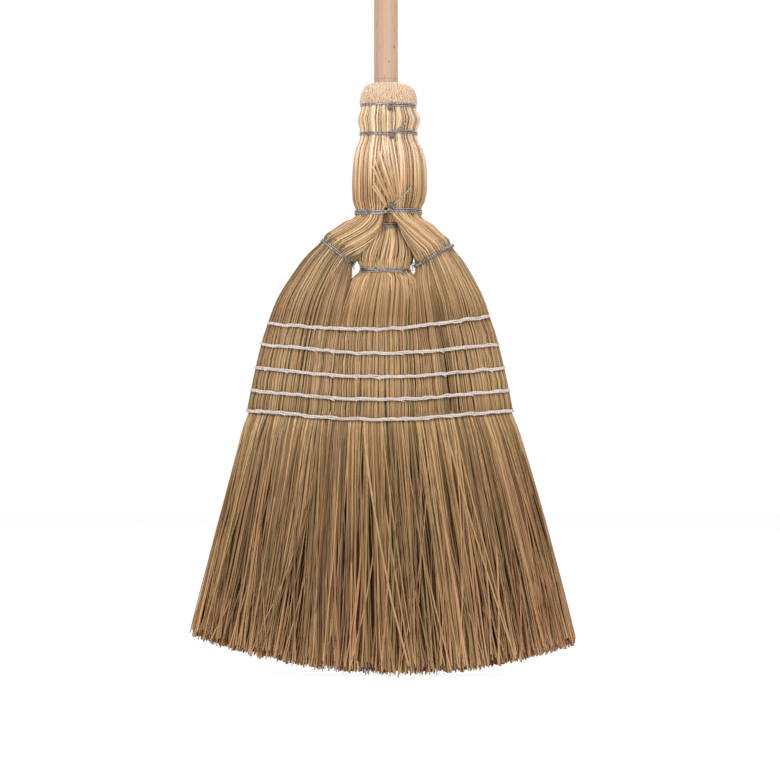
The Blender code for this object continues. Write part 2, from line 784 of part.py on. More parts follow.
def stitch_points(row):
    """One twine: once round the fan, then through it and over the first round at each needle hole."""
    level = row_level(row)
    left = fan_section("left", level, ROW_DEPTH)
    right = fan_section("right", level, ROW_DEPTH)
    centre = fan_section("centre", level, ROW_DEPTH)
    step = 2 * math.pi / RING_POINT_COUNT
    drop = TWINE_DIAMETER + TURN_GAP
    over = twine_lift + TWINE_DIAMETER + TURN_GAP
    quarter = RING_POINT_COUNT // 4
    surface = ROW_DEPTH / 2
    points = []
    for i in range(2 * quarter + 1, 3 * quarter + 1):
        points.append(left.point(i * step, twine_lift))
    for x, z in (centre.left, centre.right):
        points.append((x, -surface - twine_lift, z))
    for i in range(-quarter, quarter + 1):
        points.append(right.point(i * step, twine_lift))
    for x, z in (centre.right, centre.left):
        points.append((x, surface + twine_lift, z))
    for i in range(quarter, 2 * quarter + 4):
        x, y, z = left.point(i * step, twine_lift)
        lowered = min(1.0, max(0.0, (i - quarter - 3) / 3))
        points.append((x, y, z - drop * lowered))
    holes = needle_holes(row)
    first_x, first_z = holes[0]
    points.append((first_x, -surface - twine_lift, first_z))
    front = True
    for index, (x, z) in enumerate(holes):
        way = 1 if front else -1
        if index:
            points.append((x, -way * (surface + over), z))
        points.append((x, way * (surface + over), z))
        front = not front
    return points


def make_materials():
    return {
        "wood": make_material("handle_wood", (0.67, 0.45, 0.33), 0.55),
        "stalk": make_material("straw_stalk", (0.60, 0.39, 0.21), 0.60),
        "straw": make_material("straw_tips", (0.32, 0.19, 0.09), 0.70),
        "wire": make_material("galvanised_wire", (0.33, 0.32, 0.32), 0.40, metallic=1.0),
        "nail": make_material("nail_steel", (0.20, 0.18, 0.18), 0.45, metallic=1.0),
        "twine": make_material("twine", (0.78, 0.70, 0.65), 0.85),
    }


def main():
    clear_scene()
    parts = make_collection("straw_broom")
    cutters = make_collection("cutters", hidden=True)
    materials = make_materials()

    nail_holes = make_nail_cutter(cutters)
    sewing_holes = make_needle_cutter(cutters)
    bore = turned("handle_bore", handle_profile(FACE_GAP, CUT_OVERRUN), HANDLE_STEP_COUNT, cutters, None)
    core = add_object("core_clearance", loft("core_clearance", core_sections(cutter=True)), cutters)
    for cutter in cutters.objects:
        cutter.hide_render = True
        cutter.display_type = "WIRE"

    handle = turned("handle", handle_profile(), HANDLE_STEP_COUNT, parts, materials["wood"])
    cut(handle, nail_holes)

    centre = add_object(
        "centre_bundle", loft("centre_bundle", centre_bundle_sections()), parts, materials["stalk"]
    )
    cut(centre, bore)
    cut(centre, nail_holes)
    cut(centre, sewing_holes)
    for bundle in SIDES:
        name = bundle + "_bundle"
        obj = add_object(name, loft(name, side_bundle_sections(bundle)), parts, materials["stalk"])
        cut(obj, core)
        cut(obj, sewing_holes)
        if bundle == "right":
            cut(obj, nail_holes)
    for bundle in BUNDLE_SPANS:
        mesh = loose_straw_mesh(bundle)
        obj = add_object(mesh.name, mesh, parts, materials["straw"])
        cut(obj, sewing_holes)

    wires = {"neck_wire_" + name: neck_wire_points(name) for name in neck_bands}
    wires["core_wire"] = winding(
        round_section(core_wire_height, core_radius - WIRE_DIAMETER - FACE_GAP), CORE_TURN_COUNT
    )
    wires["waist_wire"] = tied_wire_points(waist_section(), WAIST_TURN_COUNT)
    for bundle in SIDES:
        wires[bundle + "_shoulder_wire"] = tied_wire_points(shoulder_section(bundle), SHOULDER_TURN_COUNT)
    for name, points in wires.items():
        tube(name, points, WIRE_DIAMETER, parts, materials["wire"])
        print(f"{name}: least gap to itself {least_gap(points, WIRE_DIAMETER) * 1000:.2f} mm")

    make_nails(parts, materials["nail"])

    for row in range(len(ROW_SHARES)):
        name = f"stitch_twine_{row + 1}"
        points = stitch_points(row)
        tube(name, points, TWINE_DIAMETER, parts, materials["twine"])
        print(f"{name}: least gap to itself {least_gap(points, TWINE_DIAMETER) * 1000:.2f} mm")


main()
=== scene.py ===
# %% [markdown]
# # A straw broom, straw by straw
# The real broom is broomcorn straw tied round a stick. Three bundles part at the shoulders, meet again
# in a flat fan, and are sewn there in five rows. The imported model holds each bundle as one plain
# solid. This lesson keeps every solid's place and dresses it with what the eye sees: single straws,
# cut stalk ends, wire, twine, nails and wood grain.

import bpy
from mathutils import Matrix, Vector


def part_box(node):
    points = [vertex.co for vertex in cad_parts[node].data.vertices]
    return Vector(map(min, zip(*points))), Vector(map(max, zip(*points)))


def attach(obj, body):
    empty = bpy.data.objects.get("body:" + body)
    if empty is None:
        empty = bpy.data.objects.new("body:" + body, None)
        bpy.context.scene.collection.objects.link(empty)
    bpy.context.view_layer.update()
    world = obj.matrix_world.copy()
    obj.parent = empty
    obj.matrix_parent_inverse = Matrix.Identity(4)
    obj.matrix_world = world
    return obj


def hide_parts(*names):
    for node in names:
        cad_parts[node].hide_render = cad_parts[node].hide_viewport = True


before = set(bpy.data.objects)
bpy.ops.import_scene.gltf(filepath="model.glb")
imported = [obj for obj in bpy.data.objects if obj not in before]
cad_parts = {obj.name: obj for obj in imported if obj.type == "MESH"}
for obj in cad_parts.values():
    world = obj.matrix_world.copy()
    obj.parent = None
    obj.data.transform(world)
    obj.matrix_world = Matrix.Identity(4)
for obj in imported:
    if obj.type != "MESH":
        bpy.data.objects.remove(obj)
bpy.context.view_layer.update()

import math
from types import SimpleNamespace

import bpy
import numpy as np
from mathutils import Vector

print("CAD nodes:", len(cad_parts))

# %% [markdown]
# ## Where things are
# All lengths are in metres. Heights count from the lowest straw tips, the front looks towards -Y, and
# the stick stands on the Z axis. The heights are those of the tied wires and sewn rows, from the
# crown down, so that everything made later meets the solids that it replaces.

# %% Heights and sizes
CROWN, TOP_WIRE, MIDDLE_WIRE, BOTTOM_WIRE = 0.590, 0.569, 0.541, 0.4625
CORE_WIRE, WAIST = 0.4495, 0.404
ROWS = (0.346, 0.3217, 0.2983, 0.2758, 0.256)
STICK_RADIUS, CORE_RADIUS, CORE_MARGIN = 0.012, 0.019, -0.0012
NECK_OFFSET, DEPTH_SHARE = 0.0025, 0.72
HALF_ROW, WIRE_RADIUS = 0.0027, 0.0008
TURN = 2 * math.pi

# The fan: its depths, the X of its middle, its half widths at the first row, the last row and the
# tips, and how much higher it lies at its sides than in its middle, at the rows and at the tips
ROW_DEPTH, FAN_DEPTH = 0.031, 0.035
FAN_MIDDLE = -0.006
FIRST_HALF_WIDTH, LAST_HALF_WIDTH, TIP_HALF_WIDTH = 0.110, 0.133, 0.193
ROW_RISE, TIP_RISE = 0.009, 0.035
# Shares of the half width: where the bundles part, how far they mingle there, where a row ends
SPLIT, MINGLE, ROW_END = 0.36, 0.022, 0.990

# How thick the outer straw lies on the core at each height of the neck, on its left and its right
NECK = np.array([
    (0.5870, 0.0013, 0.0013), (0.5841, 0.0053, 0.0053), (0.5780, 0.0077, 0.0077),
    (0.5719, 0.0085, 0.0085), (0.5661, 0.0085, 0.0087), (0.5550, 0.0120, 0.0137),
    (0.5439, 0.0095, 0.0100), (0.5381, 0.0095, 0.0098), (0.5253, 0.0143, 0.0160),
    (0.5065, 0.0174, 0.0198), (0.4892, 0.0180, 0.0202), (0.4735, 0.0174, 0.0180),
    (0.4664, 0.0145, 0.0145), (0.4586, 0.0145, 0.0145),
])
print("rows:", ROWS)

# %% [markdown]
# ## Smooth curves through a few sections
# A bundle is pinched by a wire here and swells there. Its shape is known at some two dozen
# cross-sections. Between them a cubic curve that never swings past its points gives the swell of
# real straw and leaves the pinches sharp.

# %% Curves through tables
def smooth(stations, rows, at):
    """Values between the rows of a table, on a curve that never swings past them."""
    step = np.diff(stations)
    slope = np.diff(rows, axis=0) / step[:, None]
    tangent = np.zeros_like(rows)
    product = slope[:-1] * slope[1:]
    mean = 2 * product / np.where(product > 0, slope[:-1] + slope[1:], 1.0)
    tangent[1:-1] = np.where(product > 0, mean, 0.0)
    tangent[0], tangent[-1] = slope[0], slope[-1]
    i = np.clip(np.searchsorted(stations, at, side="right") - 1, 0, len(step) - 1)
    t = ((at - stations[i]) / step[i])[:, None]
    h = step[i][:, None]
    return (
        rows[i] * (1 + 2 * t) * (1 - t) ** 2
        + rows[i + 1] * t**2 * (3 - 2 * t)
        + h * tangent[i] * t * (1 - t) ** 2
        - h * tangent[i + 1] * t**2 * (1 - t)
    )


def lerp(a, b, share):
    return tuple(p + (q - p) * share for p, q in zip(a, b))


def neck_cover(height):
    return smooth(-NECK[:, 0], NECK[:, 1:], np.array([-height]))[0].tolist()


# %% [markdown]
# ## The sections of the three bundles
# A section is written as seven numbers: its left and right end in the XZ plane, half its depth, how
# far from the left it is thickest, and how square it is. The neck's halves are round, a shoulder is a
# tilted oval, and the sewn fan is a flat box with round corners.

# %% Sections
def section(left, right, half_depth, widest=0.5, square=2.0):
    return (*left, *right, half_depth, widest, square)


def neck_section(height, side):
    left_cover, right_cover = neck_cover(height)
    left = (NECK_OFFSET - CORE_RADIUS - left_cover, height)
    right = (NECK_OFFSET + CORE_RADIUS + right_cover, height)
    half_depth = CORE_RADIUS + left_cover * DEPTH_SHARE
    if side < 0:
        return section(left, (0.0, height), half_depth, 1.0)
    if side > 0:
        return section((0.0, height), right, half_depth, 0.0)
    return section(left, right, half_depth, -left[0] / (right[0] - left[0]))


def fan_half_width(level):
    if level >= ROWS[-1]:
        share = max(0.0, (ROWS[0] - level) / (ROWS[0] - ROWS[-1]))
        return FIRST_HALF_WIDTH + (LAST_HALF_WIDTH - FIRST_HALF_WIDTH) * share**0.75
    return LAST_HALF_WIDTH + (TIP_HALF_WIDTH - LAST_HALF_WIDTH) * (1 - level / ROWS[-1])


def fan_point(level, u):
    """A point of the fan at a share u of its half width, on the curved line of a level."""
    loose = max(0.0, 1 - level / ROWS[-1])
    x = FAN_MIDDLE * (1 - loose / 2) + u * fan_half_width(level)
    return x, level + (ROW_RISE + (TIP_RISE - ROW_RISE) * loose) * u * u


def fan_section(span, level, depth):
    return section(fan_point(level, span[0]), fan_point(level, span[1]), depth / 2, 0.5, 6.0)


def sewn_sections(span):
    found = []
    for row, level in enumerate(ROWS):
        found.append(fan_section(span, level + HALF_ROW, ROW_DEPTH))
        found.append(fan_section(span, level - HALF_ROW, ROW_DEPTH))
        if row < len(ROWS) - 1:
            found.append(fan_section(span, (level + ROWS[row + 1]) / 2, FAN_DEPTH))
    found.append(fan_section(span, ROWS[-1] - 0.012, FAN_DEPTH))
    return found


SPANS = {
    "left": (-1.0, MINGLE - SPLIT), "centre": (-SPLIT - MINGLE, SPLIT + MINGLE),
    "right": (SPLIT - MINGLE, 1.0),
}
SIDES = {"left": -1, "right": 1}
print("fan half width at the rows:", [round(fan_half_width(level), 4) for level in ROWS])

# %% [markdown]
# A side bundle is half the neck, then a tilted oval at its own wire, then a third of the fan. The
# sections on the way are given as shares of the way from one to the next, for the outer and the inner
# side on their own, because a shoulder bulges outward and hugs the middle.

# %% Side bundles
HALF_BAND = 0.00285
SHOULDER_DEPTH, NECK_FOOT_DEPTH = 0.020, 0.02944  # half depths at a shoulder's wire and above it
# A shoulder wire's oval: tilt, distance of its inner end from the axis, height there, width
OVALS = {
    "left": (math.radians(39.0), 0.0330, 0.4098, 0.0398),
    "right": (math.radians(29.0), 0.0300, 0.4092, 0.0410),
}
# Above it, share of the way, place of the thickest straw, and the inner end's X and Z
SHOULDER = {
    "left": ((0.33, 0.80, 0.0022, 0.4440), (0.67, 0.62, 0.0120, 0.4285), (0.90, 0.52, 0.0262, 0.4146)),
    "right": ((0.33, 0.80, 0.0115, 0.4460), (0.67, 0.62, 0.0190, 0.4300), (0.90, 0.52, 0.0270, 0.4158)),
}
# How far from the axis the two halves part under the neck's last wire
PARTING = {"left": 0.0035, "right": 0.0060}
BULGE = 0.0025
# Below the wire, share of the way for outer X, outer Z, inner Z and depth
BELOW_SHOULDER = ((0.27, 0.16, 0.10, 0.0), (0.56, 0.42, 0.30, 0.10), (0.84, 0.73, 0.62, 0.45))
BELOW_SHOULDER_X = {"left": (0.0333, 0.0351, 0.0394), "right": (0.0276, 0.0268, 0.0292)}


def from_outside(side, outer, inner, half_depth, widest=0.5, square=2.0):
    if side < 0:
        return section(outer, inner, half_depth, widest, square)
    return section(inner, outer, half_depth, 1 - widest, square)


def ends(found, side):
    """The outer and the inner end of a section."""
    left, right = found[0:2], found[2:4]
    return (left, right) if side < 0 else (right, left)


def shoulder_section(bundle, move=0.0):
    """The oval that a shoulder wire goes round, moved down the bundle."""
    side, (tilt, inner_x, inner_z, width) = SIDES[bundle], OVALS[bundle]
    inner = (side * (inner_x + math.sin(tilt) * move), inner_z - math.cos(tilt) * move)
    outer = (inner[0] + side * width * math.cos(tilt), inner[1] + width * math.sin(tilt))
    return from_outside(side, outer, inner, SHOULDER_DEPTH)


def side_bundle(bundle):
    side = SIDES[bundle]
    found = [neck_section(height, side) for height in NECK[:, 0]]
    outer, _ = ends(found[-1], side)
    inner = (side * PARTING[bundle], NECK[-1, 0])
    found[-1] = from_outside(side, outer, inner, found[-1][4], 1.0)
    wired = [shoulder_section(bundle, way * HALF_BAND) for way in (-1, 1)]
    (out_a, in_a), (out_b, in_b) = ends(found[-1], side), ends(wired[0], side)
    chord = (out_b[0] - out_a[0], out_b[1] - out_a[1])
    for share, widest, inner_x, inner_z in SHOULDER[bundle]:
        push = BULGE / math.hypot(*chord)
        x, z = lerp(out_a, out_b, share)
        outer = (x - side * chord[1] * push, z + side * chord[0] * push)
        half_depth = NECK_FOOT_DEPTH + (SHOULDER_DEPTH - NECK_FOOT_DEPTH) * share
        found.append(from_outside(side, outer, (side * inner_x, inner_z), half_depth, widest))
    found += wired
    sewn = sewn_sections(SPANS[bundle])
    (out_a, in_a), (out_b, in_b) = ends(wired[1], side), ends(sewn[0], side)
    for (outer_x, outer_z, inner_z, flat), inner_x in zip(BELOW_SHOULDER, BELOW_SHOULDER_X[bundle]):
        outer = (lerp(out_a, out_b, outer_x)[0], lerp(out_a, out_b, outer_z)[1])
        inner = (side * inner_x, lerp(in_a, in_b, inner_z)[1])
        half_depth = SHOULDER_DEPTH + (ROW_DEPTH / 2 - SHOULDER_DEPTH) * flat
        found.append(from_outside(side, outer, inner, half_depth, 0.5, 2 + 4 * flat))
    return found + sewn


print("sections of a side bundle:", len(side_bundle("left")))

# %% The middle bundle
# Down to its waist: height, reach to the left and to the right, half depth
AT_CORE_WIRE, AT_WAIST = (0.0171, 0.0171, 0.0171), (0.0252, 0.0234, 0.0190)
MIDDLE = (
    (CROWN - 0.002, CORE_RADIUS, CORE_RADIUS, CORE_RADIUS),
    (0.4540, CORE_RADIUS, CORE_RADIUS, CORE_RADIUS), (0.4523, *AT_CORE_WIRE),
    (0.4467, *AT_CORE_WIRE), (0.4318, 0.0240, 0.0232, 0.0198), (0.4190, 0.0300, 0.0280, 0.0204),
    (0.4125, 0.0292, 0.0268, 0.0204), (WAIST + HALF_BAND, *AT_WAIST), (WAIST - HALF_BAND, *AT_WAIST),
)
# Below the waist, share of the way for left X, right X, Z and depth
BELOW_WAIST = ((0.42, 0.85, 0.08, 0.0), (0.60, 0.92, 0.31, 0.20), (0.80, 0.97, 0.62, 0.60))


def middle_section(height, left, right, half_depth):
    return section((-left, height), (right, height), half_depth)


def middle_bundle():
    found = [middle_section(*row) for row in MIDDLE]
    sewn = sewn_sections(SPANS["centre"])
    start, finish = found[-1], sewn[0]
    for left_x, right_x, share_z, flat in BELOW_WAIST:
        z = start[1] + (finish[1] - start[1]) * share_z
        left = (start[0] + (finish[0] - start[0]) * left_x, z)
        right = (start[2] + (finish[2] - start[2]) * right_x, z)
        half_depth = AT_WAIST[2] + (ROW_DEPTH / 2 - AT_WAIST[2]) * flat
        found.append(section(left, right, half_depth, 0.5, 2 + 4 * flat))
    return found + sewn


print("sections of the middle bundle:", len(middle_bundle()))

# %% [markdown]
# ## Guide skins
# Each bundle gets a guide: a smooth skin through its sections, with a map on it. One direction of the
# map, u, goes round the bundle, and the other, v, goes down it. A straw that keeps its u and walks
# along v flows through wires, shoulders and fan as the real ones do. Where a side bundle lies against
# the straw round the stick, its inner side follows that straw instead of cutting through it.

# %% Rings of a guide
QUARTER, RING_COUNT = 24, 170


def core_size(height):
    """Half width and half depth of the middle bundle where the side bundles lie against it."""
    table = np.array([
        (-0.70, CORE_RADIUS, CORE_RADIUS), (-CORE_WIRE, CORE_RADIUS, CORE_RADIUS),
        (-0.4318, 0.0240, 0.0198), (-0.4190, 0.0300, 0.0204), (-WAIST, 0.0252, 0.0190),
        (-0.38, 0.0252, 0.0190),
    ])
    sizes = smooth(table[:, 0], table[:, 1:], -height) + CORE_MARGIN
    return sizes[:, 0], sizes[:, 1]


def around(found, angle, lift=0.0):
    """Points that lie a lift off a section, by their angle from its right end over the back."""
    lx, lz, rx, rz, half_depth, widest, square = found
    c, s = np.cos(angle), np.sin(angle)
    reach = np.abs(c) ** (2 / square)
    y = np.sign(s) * np.abs(s) ** (2 / square) * (half_depth + lift)
    mx, mz = lx + (rx - lx) * widest, lz + (rz - lz) * widest
    ex, ez = np.where(c > 0, rx, lx), np.where(c > 0, rz, lz)
    out = np.sign(c) * reach * lift / math.hypot(rx - lx, rz - lz)
    x, z = mx + (ex - mx) * reach + (rx - lx) * out, mz + (ez - mz) * reach + (rz - lz) * out
    return np.stack([x, y, z], 1)


def hug_core(points, side):
    """Lays the part of a ring that would cut the middle bundle along that bundle's surface."""
    a, b = core_size(points[:, 2])
    inside = (points[:, 0] / a) ** 2 + (points[:, 1] / b) ** 2 < 1
    inside &= points[:, 2] > WAIST - 0.002
    for way in (-1, 1):
        half = np.flatnonzero(inside & (np.sign(points[:, 1] + way * 1e-9) == way))
        if not len(half):
            continue
        edge = half[np.argmax(np.abs(points[half, 1]))]
        entry = math.atan2(points[edge, 1] / b[edge], side * points[edge, 0] / a[edge])
        share = np.abs(points[half, 1]) / abs(points[edge, 1])
        polar = entry * share
        points[half, 0] = side * a[half] * np.cos(polar)
        points[half, 1] = b[half] * np.sin(polar)
    return points


def run_along(points):
    """How far along a line of points each of them lies."""
    return np.concatenate([[0], np.cumsum(np.linalg.norm(np.diff(points, axis=0), axis=1))])


def evened(points, count):
    """The ring again with equal steps in each quarter."""
    fine = (len(points) - 1) // 4
    found = []
    for quarter in range(4):
        part = points[quarter * fine : (quarter + 1) * fine + 1]
        run = run_along(part)
        at = np.linspace(0, run[-1], count + 1)[: count if quarter < 3 else count + 1]
        found.append(np.stack([np.interp(at, run, part[:, k]) for k in range(3)], 1))
    return np.concatenate(found)


# %% Guides as meshes with a map
def new_mesh(name, points, faces, edges=()):
    mesh = bpy.data.meshes.new(name)
    mesh.from_pydata(points, edges, faces)
    return mesh


def new_object(name, data):
    thing = bpy.data.objects.new(name, data)
    bpy.context.scene.collection.objects.link(thing)
    return thing


def run_of(sections):
    """How far down the bundle each section lies."""
    rows = np.array(sections)
    return run_along((rows[:, 0:2] + rows[:, 2:4]) / 2)


def guide_rings(sections, side):
    run = run_of(sections)
    at = np.linspace(0, run[-1], RING_COUNT)
    rings = []
    for found in smooth(run, np.array(sections), at):
        points = around(found, np.linspace(0, TURN, 16 * QUARTER + 1))
        if side:
            points = hug_core(points, side)
        rings.append(evened(points, QUARTER))
    return np.array(rings)


def outward(rings):
    """The direction square to the skin at each point."""
    down = np.gradient(rings, axis=0)
    closed = np.concatenate([rings[:, -2:-1], rings, rings[:, 1:2]], axis=1)
    around = (closed[:, 2:] - closed[:, :-2]) / 2
    normal = np.cross(around, down)
    normal /= np.maximum(np.linalg.norm(normal, axis=2, keepdims=True), 1e-9)
    middle = rings[:, :-1].mean(axis=1, keepdims=True)
    if (normal * (rings - middle)).sum() < 0:
        normal = -normal
    return normal


def grid_faces(rows, columns):
    first = np.arange(rows - 1)[:, None] * columns + np.arange(columns - 1)[None, :]
    corners = np.stack([first, first + columns, first + columns + 1, first + 1], 2)
    return corners.reshape(-1, 4)


def make_guide(name, sections, side=0):
    rings = guide_rings(sections, side)
    rows, columns, _ = rings.shape
    faces = grid_faces(rows, columns)
    mesh = new_mesh(name + "_guide", rings.reshape(-1, 3).tolist(), faces.tolist())
    flow = np.stack(np.meshgrid(np.linspace(0, 1, columns), np.linspace(0, 1, rows)), 2).reshape(-1, 2)
    layer = mesh.uv_layers.new(name="flow")
    layer.uv.foreach_set("vector", flow[faces.reshape(-1)].reshape(-1))
    out = mesh.attributes.new("outward", "FLOAT_VECTOR", "POINT")
    out.data.foreach_set("vector", outward(rings).reshape(-1))
    return new_object(name + "_guide", mesh), rings


# %% The five guides
def crown_sections():
    """The dome of cut ends, from the stick down to the top wire."""
    found = []
    for r, z, middle in (
        (0.0123, 0.5901, 0.0), (0.0148, 0.5898, 0.0), (0.0186, 0.5886, 0.0008), (0.0222, 0.5866, 0.0018),
    ):
        found.append(section((middle - r, z), (middle + r, z), r))
    return found + [neck_section(height, 0) for height in (0.5841, 0.5780, 0.5719, 0.5700)]


guides, guide_grids, stations = {}, {}, {}
for bundle, sections in (
    ("left", side_bundle("left")), ("centre", middle_bundle()), ("right", side_bundle("right")),
    ("neck", [neck_section(height, 0) for height in NECK[:, 0]]), ("crown", crown_sections()),
):
    guides[bundle], guide_grids[bundle] = make_guide(bundle, sections, SIDES.get(bundle, 0))
    run = run_of(sections)
    stations[bundle] = run / run[-1]
    print(bundle, "guide:", len(guides[bundle].data.vertices), "points")

# %% [markdown]
# ## Node trees written as sums
# The straws come from Geometry Nodes. To keep their trees readable, a small class stands for a value
# inside a tree: adding two of them adds a Math node. The same class writes the material trees. `put`
# adds one node to the tree in hand: words with a capital are its inputs, the others its settings.

# %% Values inside a tree
class Field:
    """A value that a node tree works out."""

    tree = None  # the tree in hand

    def __init__(self, socket):
        self.socket = socket

    def __add__(self, other):
        return calc("ADD", self, other)

    def __radd__(self, other):
        return calc("ADD", other, self)

    def __sub__(self, other):
        return calc("SUBTRACT", self, other)

    def __rsub__(self, other):
        return calc("SUBTRACT", other, self)

    def __mul__(self, other):
        return calc("MULTIPLY", self, other)

    def __rmul__(self, other):
        return calc("MULTIPLY", other, self)

    def __truediv__(self, other):
        return calc("DIVIDE", self, other)

    def __pow__(self, other):
        return calc("POWER", self, other)

    def __abs__(self):
        return calc("ABSOLUTE", self)

    def __mod__(self, other):
        return calc("FLOORED_MODULO", self, other)

    def __floordiv__(self, other):
        return calc("FLOOR", self / other)

    def __gt__(self, other):
        return calc("GREATER_THAN", self, other)

    def __lt__(self, other):
        return calc("LESS_THAN", self, other)


# %% Adding nodes to the tree in hand
# What the names of node types start with, in the order in which they are tried
PREFIXES = {
    "GEOMETRY": ("GeometryNode", "ShaderNode", "FunctionNode", "Node"), "SHADER": ("ShaderNode", "Node"),
}


def plug(socket, value):
    if isinstance(value, Field):
        Field.tree.links.new(value.socket, socket)
    elif value is not None:
        socket.default_value = value


def fill(node, *values, **named):
    """Gives a node its inputs, by number or by name."""
    for socket, value in zip(node.inputs, values):
        plug(socket, value)
    for name, value in named.items():
        plug(node.inputs[name.replace("_", " ")], value)
    return node


def add(kind, *values, **named):
    """Adds a node to the tree in hand."""
    names = (prefix + kind for prefix in PREFIXES[Field.tree.type])
    node = Field.tree.nodes.new(next(name for name in names if hasattr(bpy.types, name)))
    for name in [name for name in named if name[0].islower()]:
        setattr(node, name, named.pop(name))
    return fill(node, *values, **named)


def put(kind, *values, output=0, **named):
    """Adds a node and returns one of its outputs."""
    return Field(add(kind, *values, **named).outputs[output])


def calc(operation, *values):
    """A Math node, or a Vector Math node where a vector is among the values."""
    vectors = [v for v in values if isinstance(v, Field) and v.socket.type == "VECTOR"]
    if not vectors:
        return put("Math", *values, operation=operation)
    if operation == "MULTIPLY" and len(vectors) == 1:
        share = next(v for v in values if v is not vectors[0])
        return put("VectorMath", vectors[0], Scale=share, operation="SCALE")
    return put("VectorMath", *values, operation=operation)


def most(*values):
    return calc("MAXIMUM", *values)


def least(*values):
    return calc("MINIMUM", *values)


def apart(vector):
    """The three parts of a vector."""
    return [Field(output) for output in add("SeparateXYZ", vector).outputs]


def together(x, y, z):
    return put("CombineXYZ", x, y, z)


def between(low, high, share):
    return low + share * (high - low)


def span_of(value, low, high):
    """0 at one value, 1 at another, and held at these outside them."""
    return put("MapRange", value, low, high)


def noise(at, scale=1.0, detail=2.0, **settings):
    return put("TexNoise", Vector=at, Scale=scale, Detail=detail, **settings)


# %% Trees with named inputs
def plain(label):
    return label.lower().replace(" ", "_")


def new_tree(kind, name, inputs, outputs):
    """Takes a new tree in hand and returns its inputs by name."""
    Field.tree = bpy.data.node_groups.new(name, kind + "NodeTree")
    for way, sockets in (("INPUT", inputs), ("OUTPUT", outputs)):
        for socket_kind, labels in sockets.items():
            for label in labels.split(", "):
                socket_type = "NodeSocket" + socket_kind
                Field.tree.interface.new_socket(label, in_out=way, socket_type=socket_type)
    given = {plain(socket.name): Field(socket) for socket in add("GroupInput").outputs}
    return SimpleNamespace(**given)


def new_growth(name, **inputs):
    inputs = {"Geometry": "Geometry", **inputs, "Material": "Material"}
    return new_tree("Geometry", name, inputs, {"Geometry": "Geometry"})


def give_out(**values):
    """Ends the tree in hand with its outputs."""
    add("GroupOutput", **values)
    return Field.tree


def finish_growth(geometry, material, smooth=True):
    geometry = put("SetShadeSmooth", put("RealizeInstances", geometry), Shade_Smooth=smooth)
    return give_out(Geometry=put("SetMaterial", Geometry=geometry, Material=material))


# %% Results, stored values and random numbers
def grow(name, tree, **values):
    """Runs a tree with these inputs and returns its result as a plain mesh."""
    holder = new_object(name, bpy.data.meshes.new(name))
    modifier = holder.modifiers.new("grow", "NODES")
    modifier.node_group = tree
    for item in tree.interface.items_tree:
        if item.in_out == "INPUT" and plain(item.name) in values:
            modifier[item.identifier] = values[plain(item.name)]
    bpy.context.view_layer.update()
    graph = bpy.context.evaluated_depsgraph_get()
    mesh = bpy.data.meshes.new_from_object(holder.evaluated_get(graph))
    bpy.data.objects.remove(holder)
    mesh.name = name
    return mesh


def store(geometry, name, value, data_type="FLOAT", domain="POINT"):
    kind = {"data_type": data_type, "domain": domain}
    return put("StoreNamedAttribute", Geometry=geometry, Name=name, Value=value, **kind)


def stored(name, data_type="FLOAT"):
    return put("InputNamedAttribute", Name=name, data_type=data_type)


def drawing(item, seed):
    """Random numbers for each item; `extra` tells one draw from the next."""
    def draw(low, high, extra, item=item):
        return put("RandomValue", None, None, low, high, ID=item, Seed=seed + extra, output=1)
    return draw


# %% [markdown]
# ## What all straws share
# A straw starts as a short row of points, copied as often as needed. Each copy keeps its own number,
# from which its place, tone and thickness are drawn, so the result is the same on each run. Each also
# gets its own strip of a second map, into which its colours can be painted later.

# %% Straw helpers
def straw_rows(count, points):
    """Copies of a straight row of points, with each straw's number and place along it."""
    line = put("CurvePrimitiveLine", End=(0.0, 0.0, 1.0))
    line = put("ResampleCurve", Curve=line, Count=points)
    rows = put("DuplicateElements", Geometry=line, Amount=count, domain="SPLINE")
    rows = store(rows, "number", put("CurveOfPoint"))
    return store(rows, "along", put("SplineParameter"))


def round_profile(sides, radius=1.0):
    return put("CurvePrimitiveCircle", Resolution=sides, Radius=radius)


def sweep_rows(rows, place, radius, ring):
    """Moves the rows to their places and sweeps the ring along them."""
    rows = put("SetPosition", Geometry=rows, Position=place)
    rows = put("SetCurveRadius", Curve=rows, Radius=radius)
    thickness = put("InputRadius")
    return put("CurveToMesh", Curve=rows, Profile_Curve=ring, Scale=thickness, Fill_Caps=True)


def finish_straws(rows, place, radius, given):
    """Ends a tree with round straws, each with its own cell of a map three times as high as wide."""
    ring = store(round_profile(given.sides), "around", put("SplineParameter"))
    skin = sweep_rows(rows, place, radius, ring)
    number, along, around = (stored(name) for name in ("number", "along", "around"))
    columns = calc("CEIL", calc("SQRT", given.straws * 3.0))
    u = (number % columns + 0.2 + around * 0.6) / columns
    v = (number // columns + 0.08 + along * 0.84) * (columns / given.straws) * 0.98
    skin = store(skin, "OFBake", together(u, v, 0.0), "FLOAT2", "CORNER")
    return finish_growth(skin, given.material)


# %% [markdown]
# ## Straws that follow a guide
# This tree makes every straw of the tied and sewn part. For each point it looks up the guide's skin
# at (u, v) and steps inward by the straw's own depth. A low, broad noise lifts whole tufts a little,
# which gives the soft ridges and dark gaps of tied straw.

# %% The tree for tied and sewn straw
GOLDEN = 0.6180339887  # numbers times this fill a line evenly


